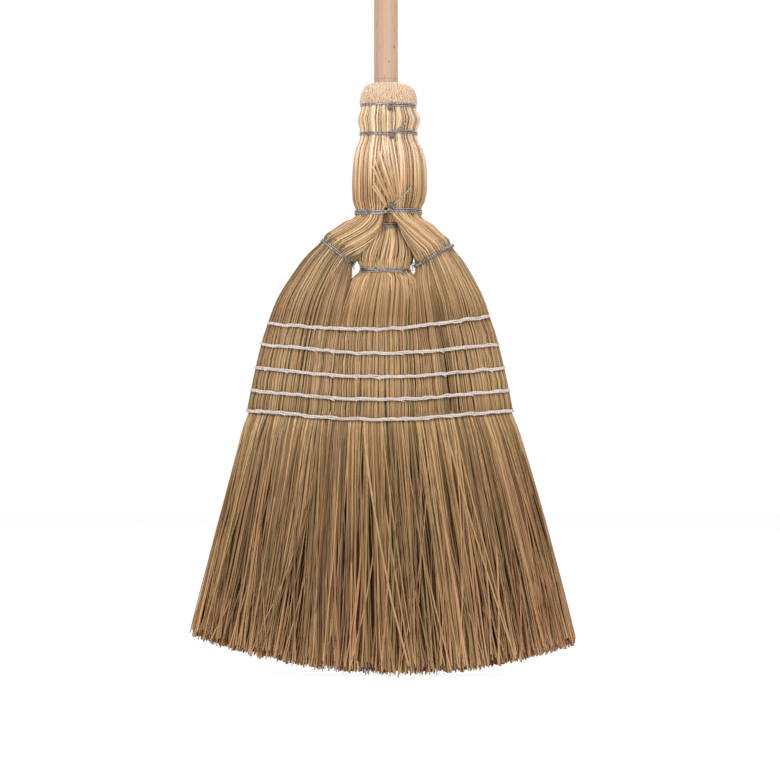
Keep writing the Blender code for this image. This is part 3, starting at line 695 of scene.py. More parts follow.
def guided_tree():
    given = new_growth(
        "Straws on a guide", Object="Guide", Int="Straws, Points, Sides, Seed",
        Float="Radius, Spread, End share, Least depth, Most depth, U from, U to, Start from, Start to, "
        "End from, End to, Drift, Drift until, Lean, Wave, Lift, Tufts, Slide, Sink, Gather, Point, "
        "Edge shade, Root shade, Most shade",
    )
    rows = straw_rows(given.straws, given.points)
    number, along = stored("number"), stored("along")
    draw = drawing(number, given.seed)
    rows = store(rows, "tone", draw(0.0, 1.0, 1))
    rows = store(rows, "hue", draw(0.0, 1.0, 2))
    even = calc("FRACT", number * GOLDEN + draw(0.0, 1.0, 3) * 0.02)
    start = draw(given.start_from, given.start_to, 4)
    root_u = between(given.u_from, given.u_to, even)
    end = draw(given.end_from, given.end_to, 5) - given.point * (1.0 - abs(calc("SINE", root_u * TURN)))
    v = between(start, end, along)
    wobble = noise(together(number * 7.31, along * 2.4, given.seed * 3.7), detail=1.0)
    u = between(given.u_from, given.u_to, between(even, 0.5, given.gather * along))
    u = u + given.drift * least(along / given.drift_until, 1.0)
    u = u + given.lean * draw(-1.0, 1.0, 6) * (along - 0.5) + given.wave * (wobble - 0.5)
    tuft = noise(together(u * given.tufts, v * given.slide, given.seed * 1.9))
    spot = together(calc("WRAP", u, 1.0, 0.0), v, 0.0)
    skin = put("ObjectInfo", Object=given.guide, output="Geometry")
    flow = stored("flow", "FLOAT_VECTOR")

    def look_up(value):
        """A value of the guide at the straw's place on its map."""
        inputs = dict(Mesh=skin, Value=value, UV_Map=flow, Sample_UV=spot)
        return put("SampleUVSurface", **inputs, data_type="FLOAT_VECTOR")

    surface, out = look_up(put("InputPosition")), look_up(stored("outward", "FLOAT_VECTOR"))
    deep = draw(0.0, 1.0, 7)
    # Painted shade, stored as "deep": darker at a bundle's sides above the waist, where it comes out
    # from under others, at the fan straw's root under the stalks, and far inside the bundle
    height = apart(surface)[2]
    edge = (1.0 - abs(calc("SINE", u * TURN))) ** 1.2
    painted_shade = given.edge_shade * edge * span_of(height, WAIST - 0.006, WAIST + 0.004)
    painted_shade = painted_shade + given.root_shade * (1.0 - span_of(along, 0.05, 0.36))
    painted_shade = painted_shade + deep * (1.0 + 0.7 * span_of(height, 0.468, 0.448))
    rows = store(rows, "deep", least(painted_shade, given.most_shade))
    depth = between(given.least_depth, given.most_depth, deep)
    radius = given.radius * (1.0 + given.spread * draw(-1.0, 1.0, 8))
    lift = given.lift * (tuft - 0.5) * 2.0 - given.sink * along**5.0
    taper = between(1.0, given.end_share, along**3.0)
    return finish_straws(rows, surface + out * (lift - depth - radius), radius * taper, given)


straw_tree = guided_tree()
print("nodes in the straw tree:", len(straw_tree.nodes))

# %% [markdown]
# ## Loose straws below the rows
# Below the last row nothing holds the straw, so it spreads, bunches into tufts and crosses a little.
# Here the whole thickness of the broom is filled, because one looks in from below. A straw keeps its
# share across and through the fan, and both drift on the way down: towards the middle of its tuft,
# which is a cell of a Voronoi pattern, and by a lean of its own.

# %% The tree for loose straw
EVEN_ACROSS, EVEN_THROUGH = 0.7548776662, 0.5698402910  # the same for a plane
SMALL_TUFT = 3.2  # small tufts in the width of a large one
FULL_SIDE = 0.965  # share of the width beyond which only stray straws go


def loose_tree():
    given = new_growth(
        "Loose straws", Int="Straws, Points, Sides, Seed",
        Float="First share, Last share, Radius, Spread, End share, Row height, Row half width, "
        "Tip half width, Row rise, Tip rise, Row half depth, Tip half depth, Offset, Tuft pull, "
        "Tuft sway, Lean, Far lean, Wave, Length spread, Tuft lengths, Tufts across, Tufts through, "
        "Stray, Bend, Small tuft pull, Small tuft sway, Side shade, Outside",
    )
    rows = straw_rows(given.straws, given.points)
    number, along = stored("number"), stored("along")
    draw = drawing(number, given.seed)
    a = calc("FRACT", number * EVEN_ACROSS + draw(0.0, 1.0, 1) * 0.01)
    b = calc("FRACT", number * EVEN_THROUGH + draw(0.0, 1.0, 2) * 0.01)

    def tuft(size, extra):
        """Where the middle of a straw's tuft is, and three random numbers of that tuft."""
        wide, deep = given.tufts_across, given.tufts_through
        at = together(a * wide * size, b * deep * size, given.seed * 5.3 + extra)
        cell = add("TexVoronoi", Vector=at, Scale=1.0)
        x, y, _ = apart(Field(cell.outputs["Position"]))
        return x / (wide * size), y / (deep * size), apart(Field(cell.outputs["Color"]))

    big_a, big_b, big = tuft(1.0, 0.0)
    small_a, small_b, small = tuft(SMALL_TUFT, 7.7)
    tone = draw(0.0, 1.0, 3) * 0.6 + big[0] * 0.15 + small[0] * 0.25
    rows = store(rows, "tone", 0.5 + (tone - 0.5) * 1.35)
    hue = between(draw(0.0, 1.0, 4), small[1], draw(0.0, 1.0, 10) > 0.55)
    lift = given.tuft_lengths * small[2] + given.length_spread * draw(0.0, 1.0, 5)
    level = between(given.row_height + 0.006, lift, along)
    loose = most(0.0, 1.0 - level / given.row_height)
    rows = store(rows, "hue", 0.5 + (hue - 0.5) * least(0.4 + loose * 1.6, 1.0))
    wobble_at = together(number * 3.17, along * 3.0, given.seed * 2.3)
    waves = apart(noise(wobble_at, detail=1.0, output="Color"))
    far = (draw(0.0, 1.0, 6) > 0.88) * given.far_lean + given.lean
    bend, gathered = loose**given.bend, loose**0.45
    pull, small_pull = given.tuft_pull * gathered, given.small_tuft_pull * gathered
    # Painted shade: straws at the sides of a small tuft, in the gaps between tufts, are darker
    tuft_side = abs(a - small_a) * given.tufts_across * SMALL_TUFT
    shade_between_tufts = given.side_shade * span_of(tuft_side, 0.20, 0.50)
    a = between(between(a, small_a, small_pull), big_a, pull)
    a = a + (given.tuft_sway * (big[2] - 0.5) + given.small_tuft_sway * (small[2] - 0.5)) * bend
    a = a + far * draw(-1.0, 1.0, 7) * bend + given.wave * (waves[0] - 0.5) * loose
    b = between(between(b, small_b, small_pull * 0.8), big_b, pull * 0.8)
    b = b + (far * draw(-1.0, 1.0, 8) * bend + given.wave * (waves[1] - 0.5) * loose) * 2.0
    b = between(b, b > 0.5, given.outside)
    across = between(given.first_share, given.last_share, a)
    size = abs(across)
    size = least(size, FULL_SIDE) + most(size - FULL_SIDE, 0.0) * given.stray
    across = calc("SIGN", across) * size
    through = b * 2.0 - 1.0
    # Painted shade: darker towards the middle of the broom's thickness, but not near its sides
    deep = span_of(abs(through), 1.0, 0.25) * (1.0 - span_of(size, 0.80, 0.96))
    rows = store(rows, "deep", most(deep, shade_between_tufts))
    free = 1.0 - span_of(level, given.row_height + 0.005, given.row_height - 0.002)
    half_width = between(given.row_half_width, given.tip_half_width, loose) - 0.0045 * free
    halfway = calc("SINE", loose * math.pi)
    x = given.offset * (1.0 - loose * 0.75) + 0.0010 * halfway + across * (half_width + 0.0022 * halfway)
    z = level + between(given.row_rise, given.tip_rise, loose) * across * across
    z = z - 0.0045 * across * loose
    swell = between(given.row_half_depth, given.tip_half_depth, loose**0.75) - 0.0025 * free
    rim = most(0.0, 1.0 - abs(across) ** 8.0)
    y = least(most(through, -1.06), 1.06) * rim**0.25 * swell
    radius = given.radius * (1.0 + given.spread * draw(-1.0, 1.0, 9))
    return finish_straws(rows, together(x, y, z), radius * between(1.0, given.end_share, along), given)


loose_straw_tree = loose_tree()
print("nodes in the loose straw tree:", len(loose_straw_tree.nodes))

# %% [markdown]
# ## Straw as a material
# Broomcorn is matt and slightly waxy. Near the neck it is pale, almost pinkish cream, and towards the
# tips it is browner, with a greenish or reddish straw here and there; this change with height is partly
# the straw's own colour and partly painted light and shade. The tone of each straw comes from the
# number it was given, and fine streaks run down it. Straw, wood and twine all have such a grain along
# them, so it is one shader group, placed in each material with its own values. Shade deep inside the
# broom, at the bundles' edges and under the rows is painted into the straw's colour too.

# %% Material helpers
def new_material(name):
    """Takes a new material's tree in hand and returns the material and its shader."""
    material = bpy.data.materials.new(name)
    material.use_nodes = True
    Field.tree = material.node_tree
    return material, Field.tree.nodes["Principled BSDF"]


def srgb(r, g, b):
    """A colour as linear light from the 0 to 255 values of a colour chart."""
    return (*(((c / 255 + 0.055) / 1.055) ** 2.4 for c in (r, g, b)), 1.0)


def tint(share, low, high):
    """A colour between two colours."""
    node = add("Mix", share, data_type="RGBA")
    plug(node.inputs[6], low)
    plug(node.inputs[7], high)
    return Field(node.outputs[2])


def bump(height, strength, distance):
    """The normal of a surface with this height."""
    return put("Bump", Strength=strength, Distance=distance, Height=height)


# %% The shader group for grain
def drawn_out_grain():
    """Noise in the object's own space, drawn out along the broom."""
    given = new_tree(
        "Shader", "Grain", {"Float": "Across, Down, Further, Detail, Distortion"}, {"Float": "Grain"}
    )
    x, y, z = apart(put("TexCoord", output="Object"))
    at = together(x * given.across, y * given.across, z * given.down + given.further)
    return give_out(Grain=noise(at, detail=given.detail, Distortion=given.distortion))


grain_group = drawn_out_grain()
print("nodes in the grain group:", len(grain_group.nodes))


def grain(across, down, detail=2.0, **more):
    return put("Group", node_tree=grain_group, Across=across, Down=down, Detail=detail, **more)


# %% The straw's colours
# Height in metres and the straw's middle colour there, as on a colour chart. It holds painted light
# and shade as well: the dips just above the bottom wire and above the first row are painted shade
STRAW_AND_SHADE_BY_HEIGHT = (
    (0.000, (184, 144, 104)), (0.055, (170, 130, 90)), (0.115, (165, 127, 87)),
    (0.195, (164, 127, 87)), (0.240, (172, 138, 95)), (0.287, (202, 165, 120)),
    (0.333, (199, 163, 119)), (0.360, (181, 144, 101)), (0.390, (209, 172, 126)),
    (0.430, (213, 177, 134)), (0.455, (213, 176, 133)), (0.475, (191, 152, 109)),
    (0.495, (212, 173, 131)), (0.520, (238, 204, 172)), (0.555, (225, 192, 157)),
    (0.574, (240, 212, 184)), (0.590, (250, 229, 205)),
)
# What a dark, a pale, a greenish and a reddish straw's light is worth of a middle one's
EVEN, DARK, PALE = (1.0, 1.0, 1.0, 1.0), (0.48, 0.42, 0.34, 1.0), (1.34, 1.43, 1.52, 1.0)
GREENISH, REDDISH = (0.84, 0.97, 0.84, 1.0), (0.96, 0.84, 0.90, 1.0)
# How much higher the first row's right end is than its middle, and how dark a row's shadow is
FIRST_ASKEW, ROW_SHADOW = 0.0033, 0.34


def under_rows(x, z):
    """1 in the narrow shadow right under a sewn row, which rises in a curve to both sides."""
    down = span_of(z, ROWS[0], ROWS[-1]) ** 0.75
    u = (x - FAN_MIDDLE) / between(FIRST_HALF_WIDTH, LAST_HALF_WIDTH, down)
    # On a side bundle a row runs straight between these two shares of the half width
    inner, outer = SPLIT - MINGLE, ROW_END
    rise = most(u * u, abs(u) * (inner + outer) - inner * outer) * ROW_RISE
    level = z - rise - u * FIRST_ASKEW * span_of(z, ROWS[0] - 0.014, ROWS[0] - 0.010)
    shadow = 0.0
    for row in ROWS:
        down = row - level
        shadow = most(shadow, span_of(down, 0.0012, 0.0022) * span_of(down, 0.0050, 0.0028))
    return shadow


print("heights with a colour of their own:", len(STRAW_AND_SHADE_BY_HEIGHT))


# %% The straw's shader group
def straw_colours():
    given = new_tree(
        "Shader", "Straw colours", {"Float": "Light, Contrast, Odd share, Streaks, Shade inside"},
        {"Color": "Colour", "Float": "Height"},
    )
    tone, hue, deep, along = (
        put("Attribute", attribute_name=name, output="Fac") for name in ("tone", "hue", "deep", "along")
    )
    x, _, z = apart(put("TexCoord", output="Object"))
    streak = grain(900.0, 40.0, Further=tone * 50.0)
    blotch = noise(together(tone * 90.0, hue * 90.0, z * 28.0))
    ramp = add("ValToRGB", z / CROWN)
    marks = ramp.color_ramp.elements
    while len(marks) < len(STRAW_AND_SHADE_BY_HEIGHT):
        marks.new(0.5)
    for mark, (height, colour) in zip(marks, STRAW_AND_SHADE_BY_HEIGHT):
        mark.position, mark.color = height / CROWN, srgb(*colour)
    toned = tint(span_of(tone, 0.0, 0.45), DARK, EVEN)
    toned = tint(given.contrast, EVEN, tint(span_of(tone, 0.45, 1.0), toned, PALE))
    odd = tint(span_of(hue, 0.78, 0.90) * given.odd_share, EVEN, GREENISH)
    odd = tint(span_of(hue, 0.22, 0.10) * given.odd_share, odd, REDDISH)
    shade = 1.0 + given.streaks * ((streak - 0.5) + (blotch - 0.5) * 1.3)
    # Painted shade: darker deep inside the broom, at bundle edges and under the stalks, less so near the
    # tips; and a painted shadow line right under each sewn row
    deep = deep * (1.0 - 0.8 * along**8.0)
    shade = given.light * shade * (1.0 - given.shade_inside * deep)
    shade = shade * (1.0 - ROW_SHADOW * under_rows(x, z))
    colour = put("VectorMath", Field(ramp.outputs[0]), toned, operation="MULTIPLY")
    colour = put("VectorMath", colour, odd, operation="MULTIPLY")
    return give_out(Colour=put("VectorMath", colour, Scale=shade, operation="SCALE"), Height=streak)


straw_group = straw_colours()
print("nodes in the straw's shader group:", len(straw_group.nodes))


# %% Straw materials
def straw_material(name, light=1.0, contrast=1.0, odd=0.7, streaks=0.5, inside=0.3, rough=0.62):
    material, shader = new_material(name)
    straw = add(
        "Group", node_tree=straw_group, Light=light, Contrast=contrast, Odd_share=odd,
        Streaks=streaks, Shade_inside=inside,
    )
    colour, height = (Field(output) for output in straw.outputs)
    fill(shader, Base_Color=colour, Normal=bump(height, 0.25, 0.0003))
    fill(shader, Roughness=rough, Specular_IOR_Level=0.35)
    return material


# Lighter and darker copies of one straw, which paint light and shade per bundle: the side bundles' fans
# are darker than the middle one's, the left one most. "inside" is how much painted shade a straw takes
# deep in the broom
stalk_material = straw_material("stalk", light=1.18, contrast=0.78, inside=0.44)
middle_stalk_material = straw_material("middle_stalk", light=1.17, contrast=0.80, inside=0.42)
cut_material = straw_material(
    "cut_straw", light=1.03, contrast=0.2, odd=0.4, streaks=0.3, inside=0.0, rough=0.8
)
fan_materials = {
    bundle: straw_material("fan_straw_" + bundle, light=light, contrast=0.75, odd=0.6, inside=0.15)
    for bundle, light in (("left", 0.86), ("centre", 0.96), ("right", 0.94))
}
tip_material = straw_material("loose_straw", light=1.13, odd=1.0, streaks=0.6, inside=0.95)
print("straw materials:", *(material.name for material in bpy.data.materials))

# %% [markdown]
# ## Packed straw behind the first layers
# Only the outer few millimetres of a tied bundle are modelled as straws. Behind them lies a closed
# skin in the colour of straw in deep shadow, so that no light falls through.

# %% Packed core
def shade_straw():
    material, shader = new_material("shaded_straw")
    fill(shader, Base_Color=tint(grain(500.0, 15.0), srgb(70, 46, 26), srgb(120, 88, 56)), Roughness=0.9)
    return material


shade_material = shade_straw()


def packed_skin(name, rings, depth, first, last, material=shade_material):
    """A closed skin inside a guide, from one of its rings to another."""
    inner = (rings - outward(rings) * depth)[first : last + 1 : 2, :-1:2]
    rows, columns, _ = inner.shape
    faces, places = [], []
    for i in range(rows - 1):
        for j in range(columns):
            k, a, b = (j + 1) % columns, i * columns, (i + 1) * columns
            faces.append((a + j, b + j, b + k, a + k))
            u, v, step_u, step_v = j / columns, 0.9 * i / rows, 1 / columns, 0.9 / rows
            places += [(u, v), (u, v + step_v), (u + step_u, v + step_v), (u + step_u, v)]
    for end, ring in ((0.02, reversed(range(columns))), (0.52, range(columns))):
        faces.append(tuple((rows - 1) * columns * (end > 0.5) + j for j in ring))
        turns = [TURN * j / columns for j in range(columns)]
        places += [(end + 0.2 + 0.2 * math.cos(t), 0.95 + 0.04 * math.sin(t)) for t in turns]
    mesh = new_mesh(name, inner.reshape(-1, 3).tolist(), faces)
    mesh.uv_layers.new(name="OFBake").uv.foreach_set("vector", np.array(places).reshape(-1))
    mesh.materials.append(material)
    mesh.shade_smooth()
    return mesh


# %% Joining meshes into one piece
def share_map(meshes):
    """Gives each mesh its own band of the map that colours are painted into, by its area."""
    areas = [sum(face.area for face in mesh.polygons) for mesh in meshes]
    low = 0.0
    for mesh, area in zip(meshes, areas):
        places = np.empty(2 * len(mesh.loops), dtype=np.float32)
        layer = mesh.uv_layers["OFBake"]
        layer.uv.foreach_get("vector", places)
        places[1::2] = low + places[1::2] * 0.99 * area / sum(areas)
        layer.uv.foreach_set("vector", places)
        low += area / sum(areas)


def finished(name, meshes, node):
    """One piece made of several meshes, in place of one CAD node."""
    if all("OFBake" in mesh.uv_layers for mesh in meshes):
        share_map(meshes)
    parts = [new_object(mesh.name, mesh) for mesh in meshes]
    bpy.ops.object.select_all(action="DESELECT")
    for part in parts:
        part.select_set(True)
    piece = bpy.context.view_layer.objects.active = parts[0]
    if len(parts) > 1:
        bpy.ops.object.join()
    piece.name = piece.data.name = name
    print(f"{name}: {sum(len(face.vertices) - 2 for face in piece.data.polygons)} triangles")
    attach(piece, "root")
    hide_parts(node)


# %% [markdown]
# ## The crown of cut ends
# Above the top wire the stalks are trimmed to a dome, so one sees their round cut ends. They could be
# a bump in a material, but the dome's edge would then be smooth. Points are scattered on the dome at
# no less than a stalk's width from each other, and each gets a short stub that stands half upright.

# %% The tree for the cut ends
def crown_tree():
    given = new_growth(
        "Cut ends", Object="Dome", Int="Seed",
        Float="Spacing, Least radius, Most radius, Length, Uneven, Side",
    )
    dome = put("ObjectInfo", Object=given.dome, output="Geometry")
    scatter = add(
        "DistributePointsOnFaces", distribute_method="POISSON", Mesh=dome,
        Distance_Min=given.spacing, Density_Max=2e6, Seed=given.seed,
    )
    points, normal = Field(scatter.outputs["Points"]), Field(scatter.outputs["Normal"])
    draw = drawing(put("InputIndex"), given.seed)
    points = store(points, "tone", draw(0.0, 1.0, 1))
    points = store(points, "hue", draw(0.0, 1.0, 2))
    up = together(draw(-0.25, 0.25, 3), draw(-0.25, 0.25, 4), 0.7)
    points = store(points, "way", normal * 0.8 + up, "FLOAT_VECTOR")
    # The middle bundle keeps the stubs above it, a side bundle those beside it on its side
    x, y, _ = apart(put("InputPosition"))
    core, size = calc("SQRT", x * x + y * y) < CORE_RADIUS, abs(given.side)
    kept = core * (1.0 - size) + (x * given.side > 0.0) * (1.0 - core) * size
    points = put("DeleteGeometry", Geometry=points, Selection=1.0 - kept, domain="POINT")
    cone = add("MeshCone", Vertices=7, Radius_Top=0.8, Radius_Bottom=1.0, Depth=1.0)
    stub, cell = Field(cone.outputs["Mesh"]), Field(cone.outputs["UV Map"])
    stub = store(stub, "cell", cell, "FLOAT2", "CORNER")
    way = put("AlignRotationToVector", Vector=stored("way", "FLOAT_VECTOR"))
    radius = draw(given.least_radius, given.most_radius, 5)
    scale = together(radius, radius, given.length + given.uneven * draw(-1.0, 1.0, 6))
    stubs = put("InstanceOnPoints", Points=points, Instance=stub, Rotation=way, Scale=scale)
    stubs = put("TranslateInstances", Instances=stubs, Translation=(0.0, 0.0, -0.38))
    stubs = store(stubs, "number", put("InputIndex"), domain="INSTANCE")
    count = put("AttributeDomainSize", stubs, component="INSTANCES", output="Instance Count")
    columns = calc("CEIL", calc("SQRT", count * 1.0))
    stubs = put("RealizeInstances", stubs)
    cell, number = apart(stored("cell", "FLOAT_VECTOR")), stored("number")
    u = (number % columns + 0.1 + cell[0] * 0.8) / columns
    v = (number // columns + 0.1 + cell[1] * 0.8) / columns
    stubs = store(stubs, "OFBake", together(u, v, 0.0), "FLOAT2", "CORNER")
    return finish_growth(stubs, given.material, smooth=False)


cut_end_tree = crown_tree()
print("nodes in the cut end tree:", len(cut_end_tree.nodes))


def cut_ends(bundle):
    return grow(
        "cut_ends", cut_end_tree, dome=guides["crown"], seed=5, spacing=0.00108,
        least_radius=0.00058, most_radius=0.00080, length=0.0026, uneven=0.00022,
        side=float(SIDES.get(bundle, 0)), material=cut_material,
    )


# %% [markdown]
# ## The tied and sewn straw
# Each bundle gets thick pale stalks, which run from the crown through the shoulder and end in the fan
# at different heights, and finer straws, which come out from under them and go on to the last row. On
# the front of the neck a handful of stalks crosses the others on its way to the bottom nail.

# %% Looks of the straws
PLAIN = dict(
    drift=0.0, drift_until=1.0, lean=0.0, lift=0.0006, tufts=30.0, slide=4.0, least_depth=0.0,
    sink=0.0, gather=0.0, point=0.0, edge_shade=0.0, root_shade=0.0, most_shade=1.5,
)
STALK = dict(
    sides=4, radius=0.00094, most_depth=0.0030, spread=0.35, wave=0.004, sink=0.0010, point=0.03,
    end_share=0.35,
)
FAN = dict(
    sides=3, radius=0.00079, most_depth=0.0036, spread=0.35, wave=0.009, lift=0.0005, lean=0.016,
    tufts=46.0, slide=2.4, end_share=0.9, most_shade=4.0,
)
CROSSING = dict(
    sides=6, radius=0.00105, spread=0.3, wave=0.008, lift=0.0004, sink=0.0018, end_share=0.8,
)
ALL_ROUND = (0.0, 1.0)
# Painted shade: how much darker the fan straw is where it comes out from under the stalks
ROOT_SHADE = {"left": 2.6, "centre": 0.0, "right": 1.2}
PACKED_DEPTH = 0.0042


def layer(name, guide, u, start, end, looks, **values):
    """Straws on a guide between two shares of the way round it and of the way down it."""
    values = {**PLAIN, **looks, **values}
    return grow(
        name, straw_tree, guide=guides[guide], u_from=u[0], u_to=u[1], start_from=start[0],
        start_to=start[1], end_from=end[0], end_to=end[1], **values,
    )


for name, looks in (("stalk", STALK), ("fan straw", FAN)):
    print(f"a {name} is {2000 * looks['radius']:.2f} mm thick")


# %% Straws that lie askew on the neck
def v_of_neck(height):
    return (NECK[0, 0] - height) / (NECK[0, 0] - NECK[-1, 0])


def crossing_stalks():
    """Stalks that lie askew on the neck's front, some of them broken off, down to the nail."""
    foot = v_of_neck(BOTTOM_WIRE + 0.004)
    found = []
    for name, straws, points, seed, u, heights, depths, more in (
        ("leaning", 10, 20, 64, (0.728, 0.792), (0.538, 0.536), (-0.0008, 0.0002),
         dict(drift=0.045, gather=0.45, lean=0.004)),
        ("crossing", 11, 16, 61, (0.689, 0.742), (0.521, 0.506), (-0.0020, -0.0006),
         dict(drift=0.075, gather=0.35, lean=0.008)),
        ("broken", 4, 12, 66, (0.684, 0.704), (0.491, 0.482), (-0.0026, -0.0014),
         dict(drift=0.066, gather=0.2, lean=0.010, radius=0.0010)),
    ):
        start = [v_of_neck(height) for height in heights]
        found.append(layer(
            name, "neck", u, start, (foot, foot), CROSSING, straws=straws, points=points, seed=seed,
            least_depth=depths[0], most_depth=depths[1], material=stalk_material, **more,
        ))
    return found


# %% Straws of the three bundles
def at_sections(bundle, *numbers):
    """The share of the way down a bundle at which its sections lie, 34.5 being between two of them."""
    return np.interp(numbers, range(len(stations[bundle])), stations[bundle]).tolist()


def fan_straws(bundle, start, end, **values):
    looks = dict(root_shade=ROOT_SHADE[bundle], material=fan_materials[bundle])
    return layer("fan", bundle, ALL_ROUND, start, (end, end), FAN, **looks, **values)


def side_straws(bundle):
    """The straws of a side bundle: stalks on the neck's outside, stalks of the shoulder, fan straws."""
    side = SIDES[bundle]
    crown, neck_foot, wire, first_row, last_row = at_sections(bundle, 3, 13, 17, 22, 34.5)
    outer, inner = ((0.235, 0.765), (0.76, 1.24)) if side < 0 else ((-0.265, 0.265), (0.26, 0.74))
    end = (wire + 0.05, first_row + 0.02)
    packed = packed_skin(bundle + "_packed", guide_grids[bundle], PACKED_DEPTH, 4, RING_COUNT - 8)
    stalks = layer(
        "stalks", bundle, outer, (crown - 0.012, crown - 0.004), end, STALK, straws=200, points=50,
        seed=3 + side, radius=0.00092, lift=0.0009, wave=0.005, lean=0.026, material=stalk_material,
    )
    shoulder = layer(
        "shoulder", bundle, inner, (neck_foot - 0.02, neck_foot), end, STALK, straws=112, points=22,
        seed=13 + side, lean=0.08, edge_shade=1.2, material=stalk_material,
    )
    fan = fan_straws(bundle, (wire - 0.03, wire), last_row, straws=660, points=18, seed=23 + side)
    crossing = crossing_stalks() if bundle == "left" else []
    return [packed, stalks, shoulder, fan, cut_ends(bundle)] + crossing


def middle_straws(bundle):
    core, waist, first_row, last_row = at_sections(bundle, 1, 8, 12, 24.5)
    packed = packed_skin("centre_packed", guide_grids[bundle], PACKED_DEPTH, 0, RING_COUNT - 8)
    dome = packed_skin("crown_packed", guide_grids["crown"], 0.0012, 0, RING_COUNT - 1, cut_material)
    stalks = layer(
        "stalks", bundle, ALL_ROUND, (core - 0.06, core - 0.04), (waist + 0.05, first_row + 0.02),
        STALK, straws=290, points=32, seed=36, most_depth=0.0026, lean=0.05, drift=-0.08,
        drift_until=0.6, edge_shade=1.4, material=middle_stalk_material,
    )
    fan = fan_straws(bundle, (waist - 0.05, waist - 0.02), last_row, straws=640, points=20, seed=43)
    return [packed, dome, stalks, fan, cut_ends(bundle)]


for bundle in SPANS:
    meshes = side_straws(bundle) if bundle in SIDES else middle_straws(bundle)
    finished(bundle + "_straw", meshes, bundle + "_bundle")

# %% Loose straw of the three bundles
LOOSE = dict(
    sides=4, spread=0.5, end_share=0.8, row_height=ROWS[-1], row_half_width=0.1358,
    tip_half_width=0.1950, row_rise=ROW_RISE, tip_rise=TIP_RISE, row_half_depth=0.0152,
    tip_half_depth=0.025, offset=FAN_MIDDLE, tuft_sway=0.22, small_tuft_sway=0.11,
    length_spread=0.004, tuft_lengths=0.013, tufts_across=11.0, tufts_through=5.0,
)
TUFTED = dict(
    straws=2000, points=9, radius=0.00095, tuft_pull=0.45, small_tuft_pull=0.88, lean=0.055,
    far_lean=0.22, wave=0.05, bend=1.2, stray=0.12, side_shade=0.65, outside=0.0,
)
HAIR = dict(
    straws=110, points=12, radius=0.00045, tuft_pull=0.0, small_tuft_pull=0.0, lean=0.10,
    far_lean=0.25, wave=0.09, bend=1.2, stray=0.12, side_shade=0.0, outside=0.9, seed=83,
)
STRAY = dict(
    HAIR, straws=8, radius=0.00050, lean=1.0, far_lean=0.0, bend=3.0, stray=1.0, outside=0.0, wave=0.05
)
for bundle, (first, last) in SPANS.items():
    values = dict(LOOSE, seed=53 + len(bundle), material=tip_material)
    values.update(first_share=first, last_share=last)
    meshes = [grow(name, loose_straw_tree, **{**values, **looks}) for name, looks in (
        ("loose", TUFTED), ("hair", HAIR),
    )]
    if bundle in SIDES:
        values.update(STRAY, first_share=0.93 * SIDES[bundle], last_share=0.97 * SIDES[bundle])
        meshes.append(grow("stray", loose_straw_tree, **values))
    finished(bundle + "_loose_straw", meshes, bundle + "_bristles")

# %% [markdown]
# ## Wire
# The ties are dull galvanised wire, 1.6 mm thick. A tie is first a path: turn after turn round a
# section of the straw, pulled tight, then round its nail or off into a loose end. A small tree lays a
# smooth curve through the path, gives it the slight unevenness of hand-wound wire, and sweeps a ring
# along it. A sculpted or bevelled curve would do as well, but a tree makes all seven ties alike.

# %% The tree for wire
def wire_tree():
    given = new_growth("Round wire", Object="Path", Int="Sides", Float="Radius, Step, Uneven")
    curve = put("MeshToCurve", Mesh=put("ObjectInfo", Object=given.path, output="Geometry"))
    curve = put("CurveSplineType", Curve=curve, spline_type="CATMULL_ROM")
    curve = put("ResampleCurve", Curve=curve, Length=given.step, mode="LENGTH")
    wander = noise(put("InputPosition"), 160.0, output="Color") - together(0.5, 0.5, 0.5)
    curve = put("SetPosition", Geometry=curve, Offset=wander * given.uneven)
    ring = round_profile(given.sides, given.radius)
    skin = put("CurveToMesh", Curve=curve, Profile_Curve=ring, Fill_Caps=True)
    return finish_growth(skin, given.material)


round_wire_tree = wire_tree()


def path_object(points):
    """A line through points, for a tree to follow."""
    edges = [(i, i + 1) for i in range(len(points) - 1)]
    return new_object("path", new_mesh("path", points.tolist(), [], edges))


def swept(name, points, radius, material, sides=9, step=0.0014, uneven=0.0005):
    path = path_object(np.asarray(points))
    mesh = grow(
        name, round_wire_tree, path=path, sides=sides, radius=radius, step=step, uneven=uneven,
        material=material,
    )
    bpy.data.objects.remove(path)
    return mesh


# %% [markdown]
# ## Galvanised and plain steel
# Zinc goes dull and cloudy: patches of lighter and darker grey, rougher where they are light, with a
# fine uneven grain. The nails are darker, with a hint of brown where they have rusted.

# %% The metals' shader group
def cloudy_metal():
    """Patches of a darker and a lighter colour, with some rust where a share of it is asked for."""
    given = new_tree(
        "Shader", "Cloudy metal", {"Color": "Dark, Light, Rust", "Float": "Rust share, Size"},
        {"Color": "Colour", "Float": "Patches, Fine"},
    )
    place = put("TexCoord", output="Object")
    cloud, fine = noise(place, given.size, 3.0), noise(place, given.size * 7.0)
    patches = span_of(cloud * 0.65 + fine * 0.35, 0.35, 0.65)
    colour = tint(patches, given.dark, given.light)
    colour = tint(span_of(cloud, 0.56, 0.70) * given.rust_share, colour, given.rust)
    return give_out(Colour=colour, Patches=patches, Fine=fine)


metal_group = cloudy_metal()


# %% Metal materials
def metal(name, dark, light, rough, size, rusty=0.0):
    material, shader = new_material(name)
    cloudy = add(
        "Group", node_tree=metal_group, Dark=srgb(*dark), Light=srgb(*light),
        Rust=srgb(104, 72, 52), Rust_share=rusty, Size=size,
    )
    colour, patches, fine = (Field(output) for output in cloudy.outputs)
    rough = between(rough - 0.10, rough + 0.12, patches)
    fill(shader, Base_Color=colour, Metallic=0.85, Roughness=rough, Normal=bump(fine, 0.3, 0.0002))
    return material


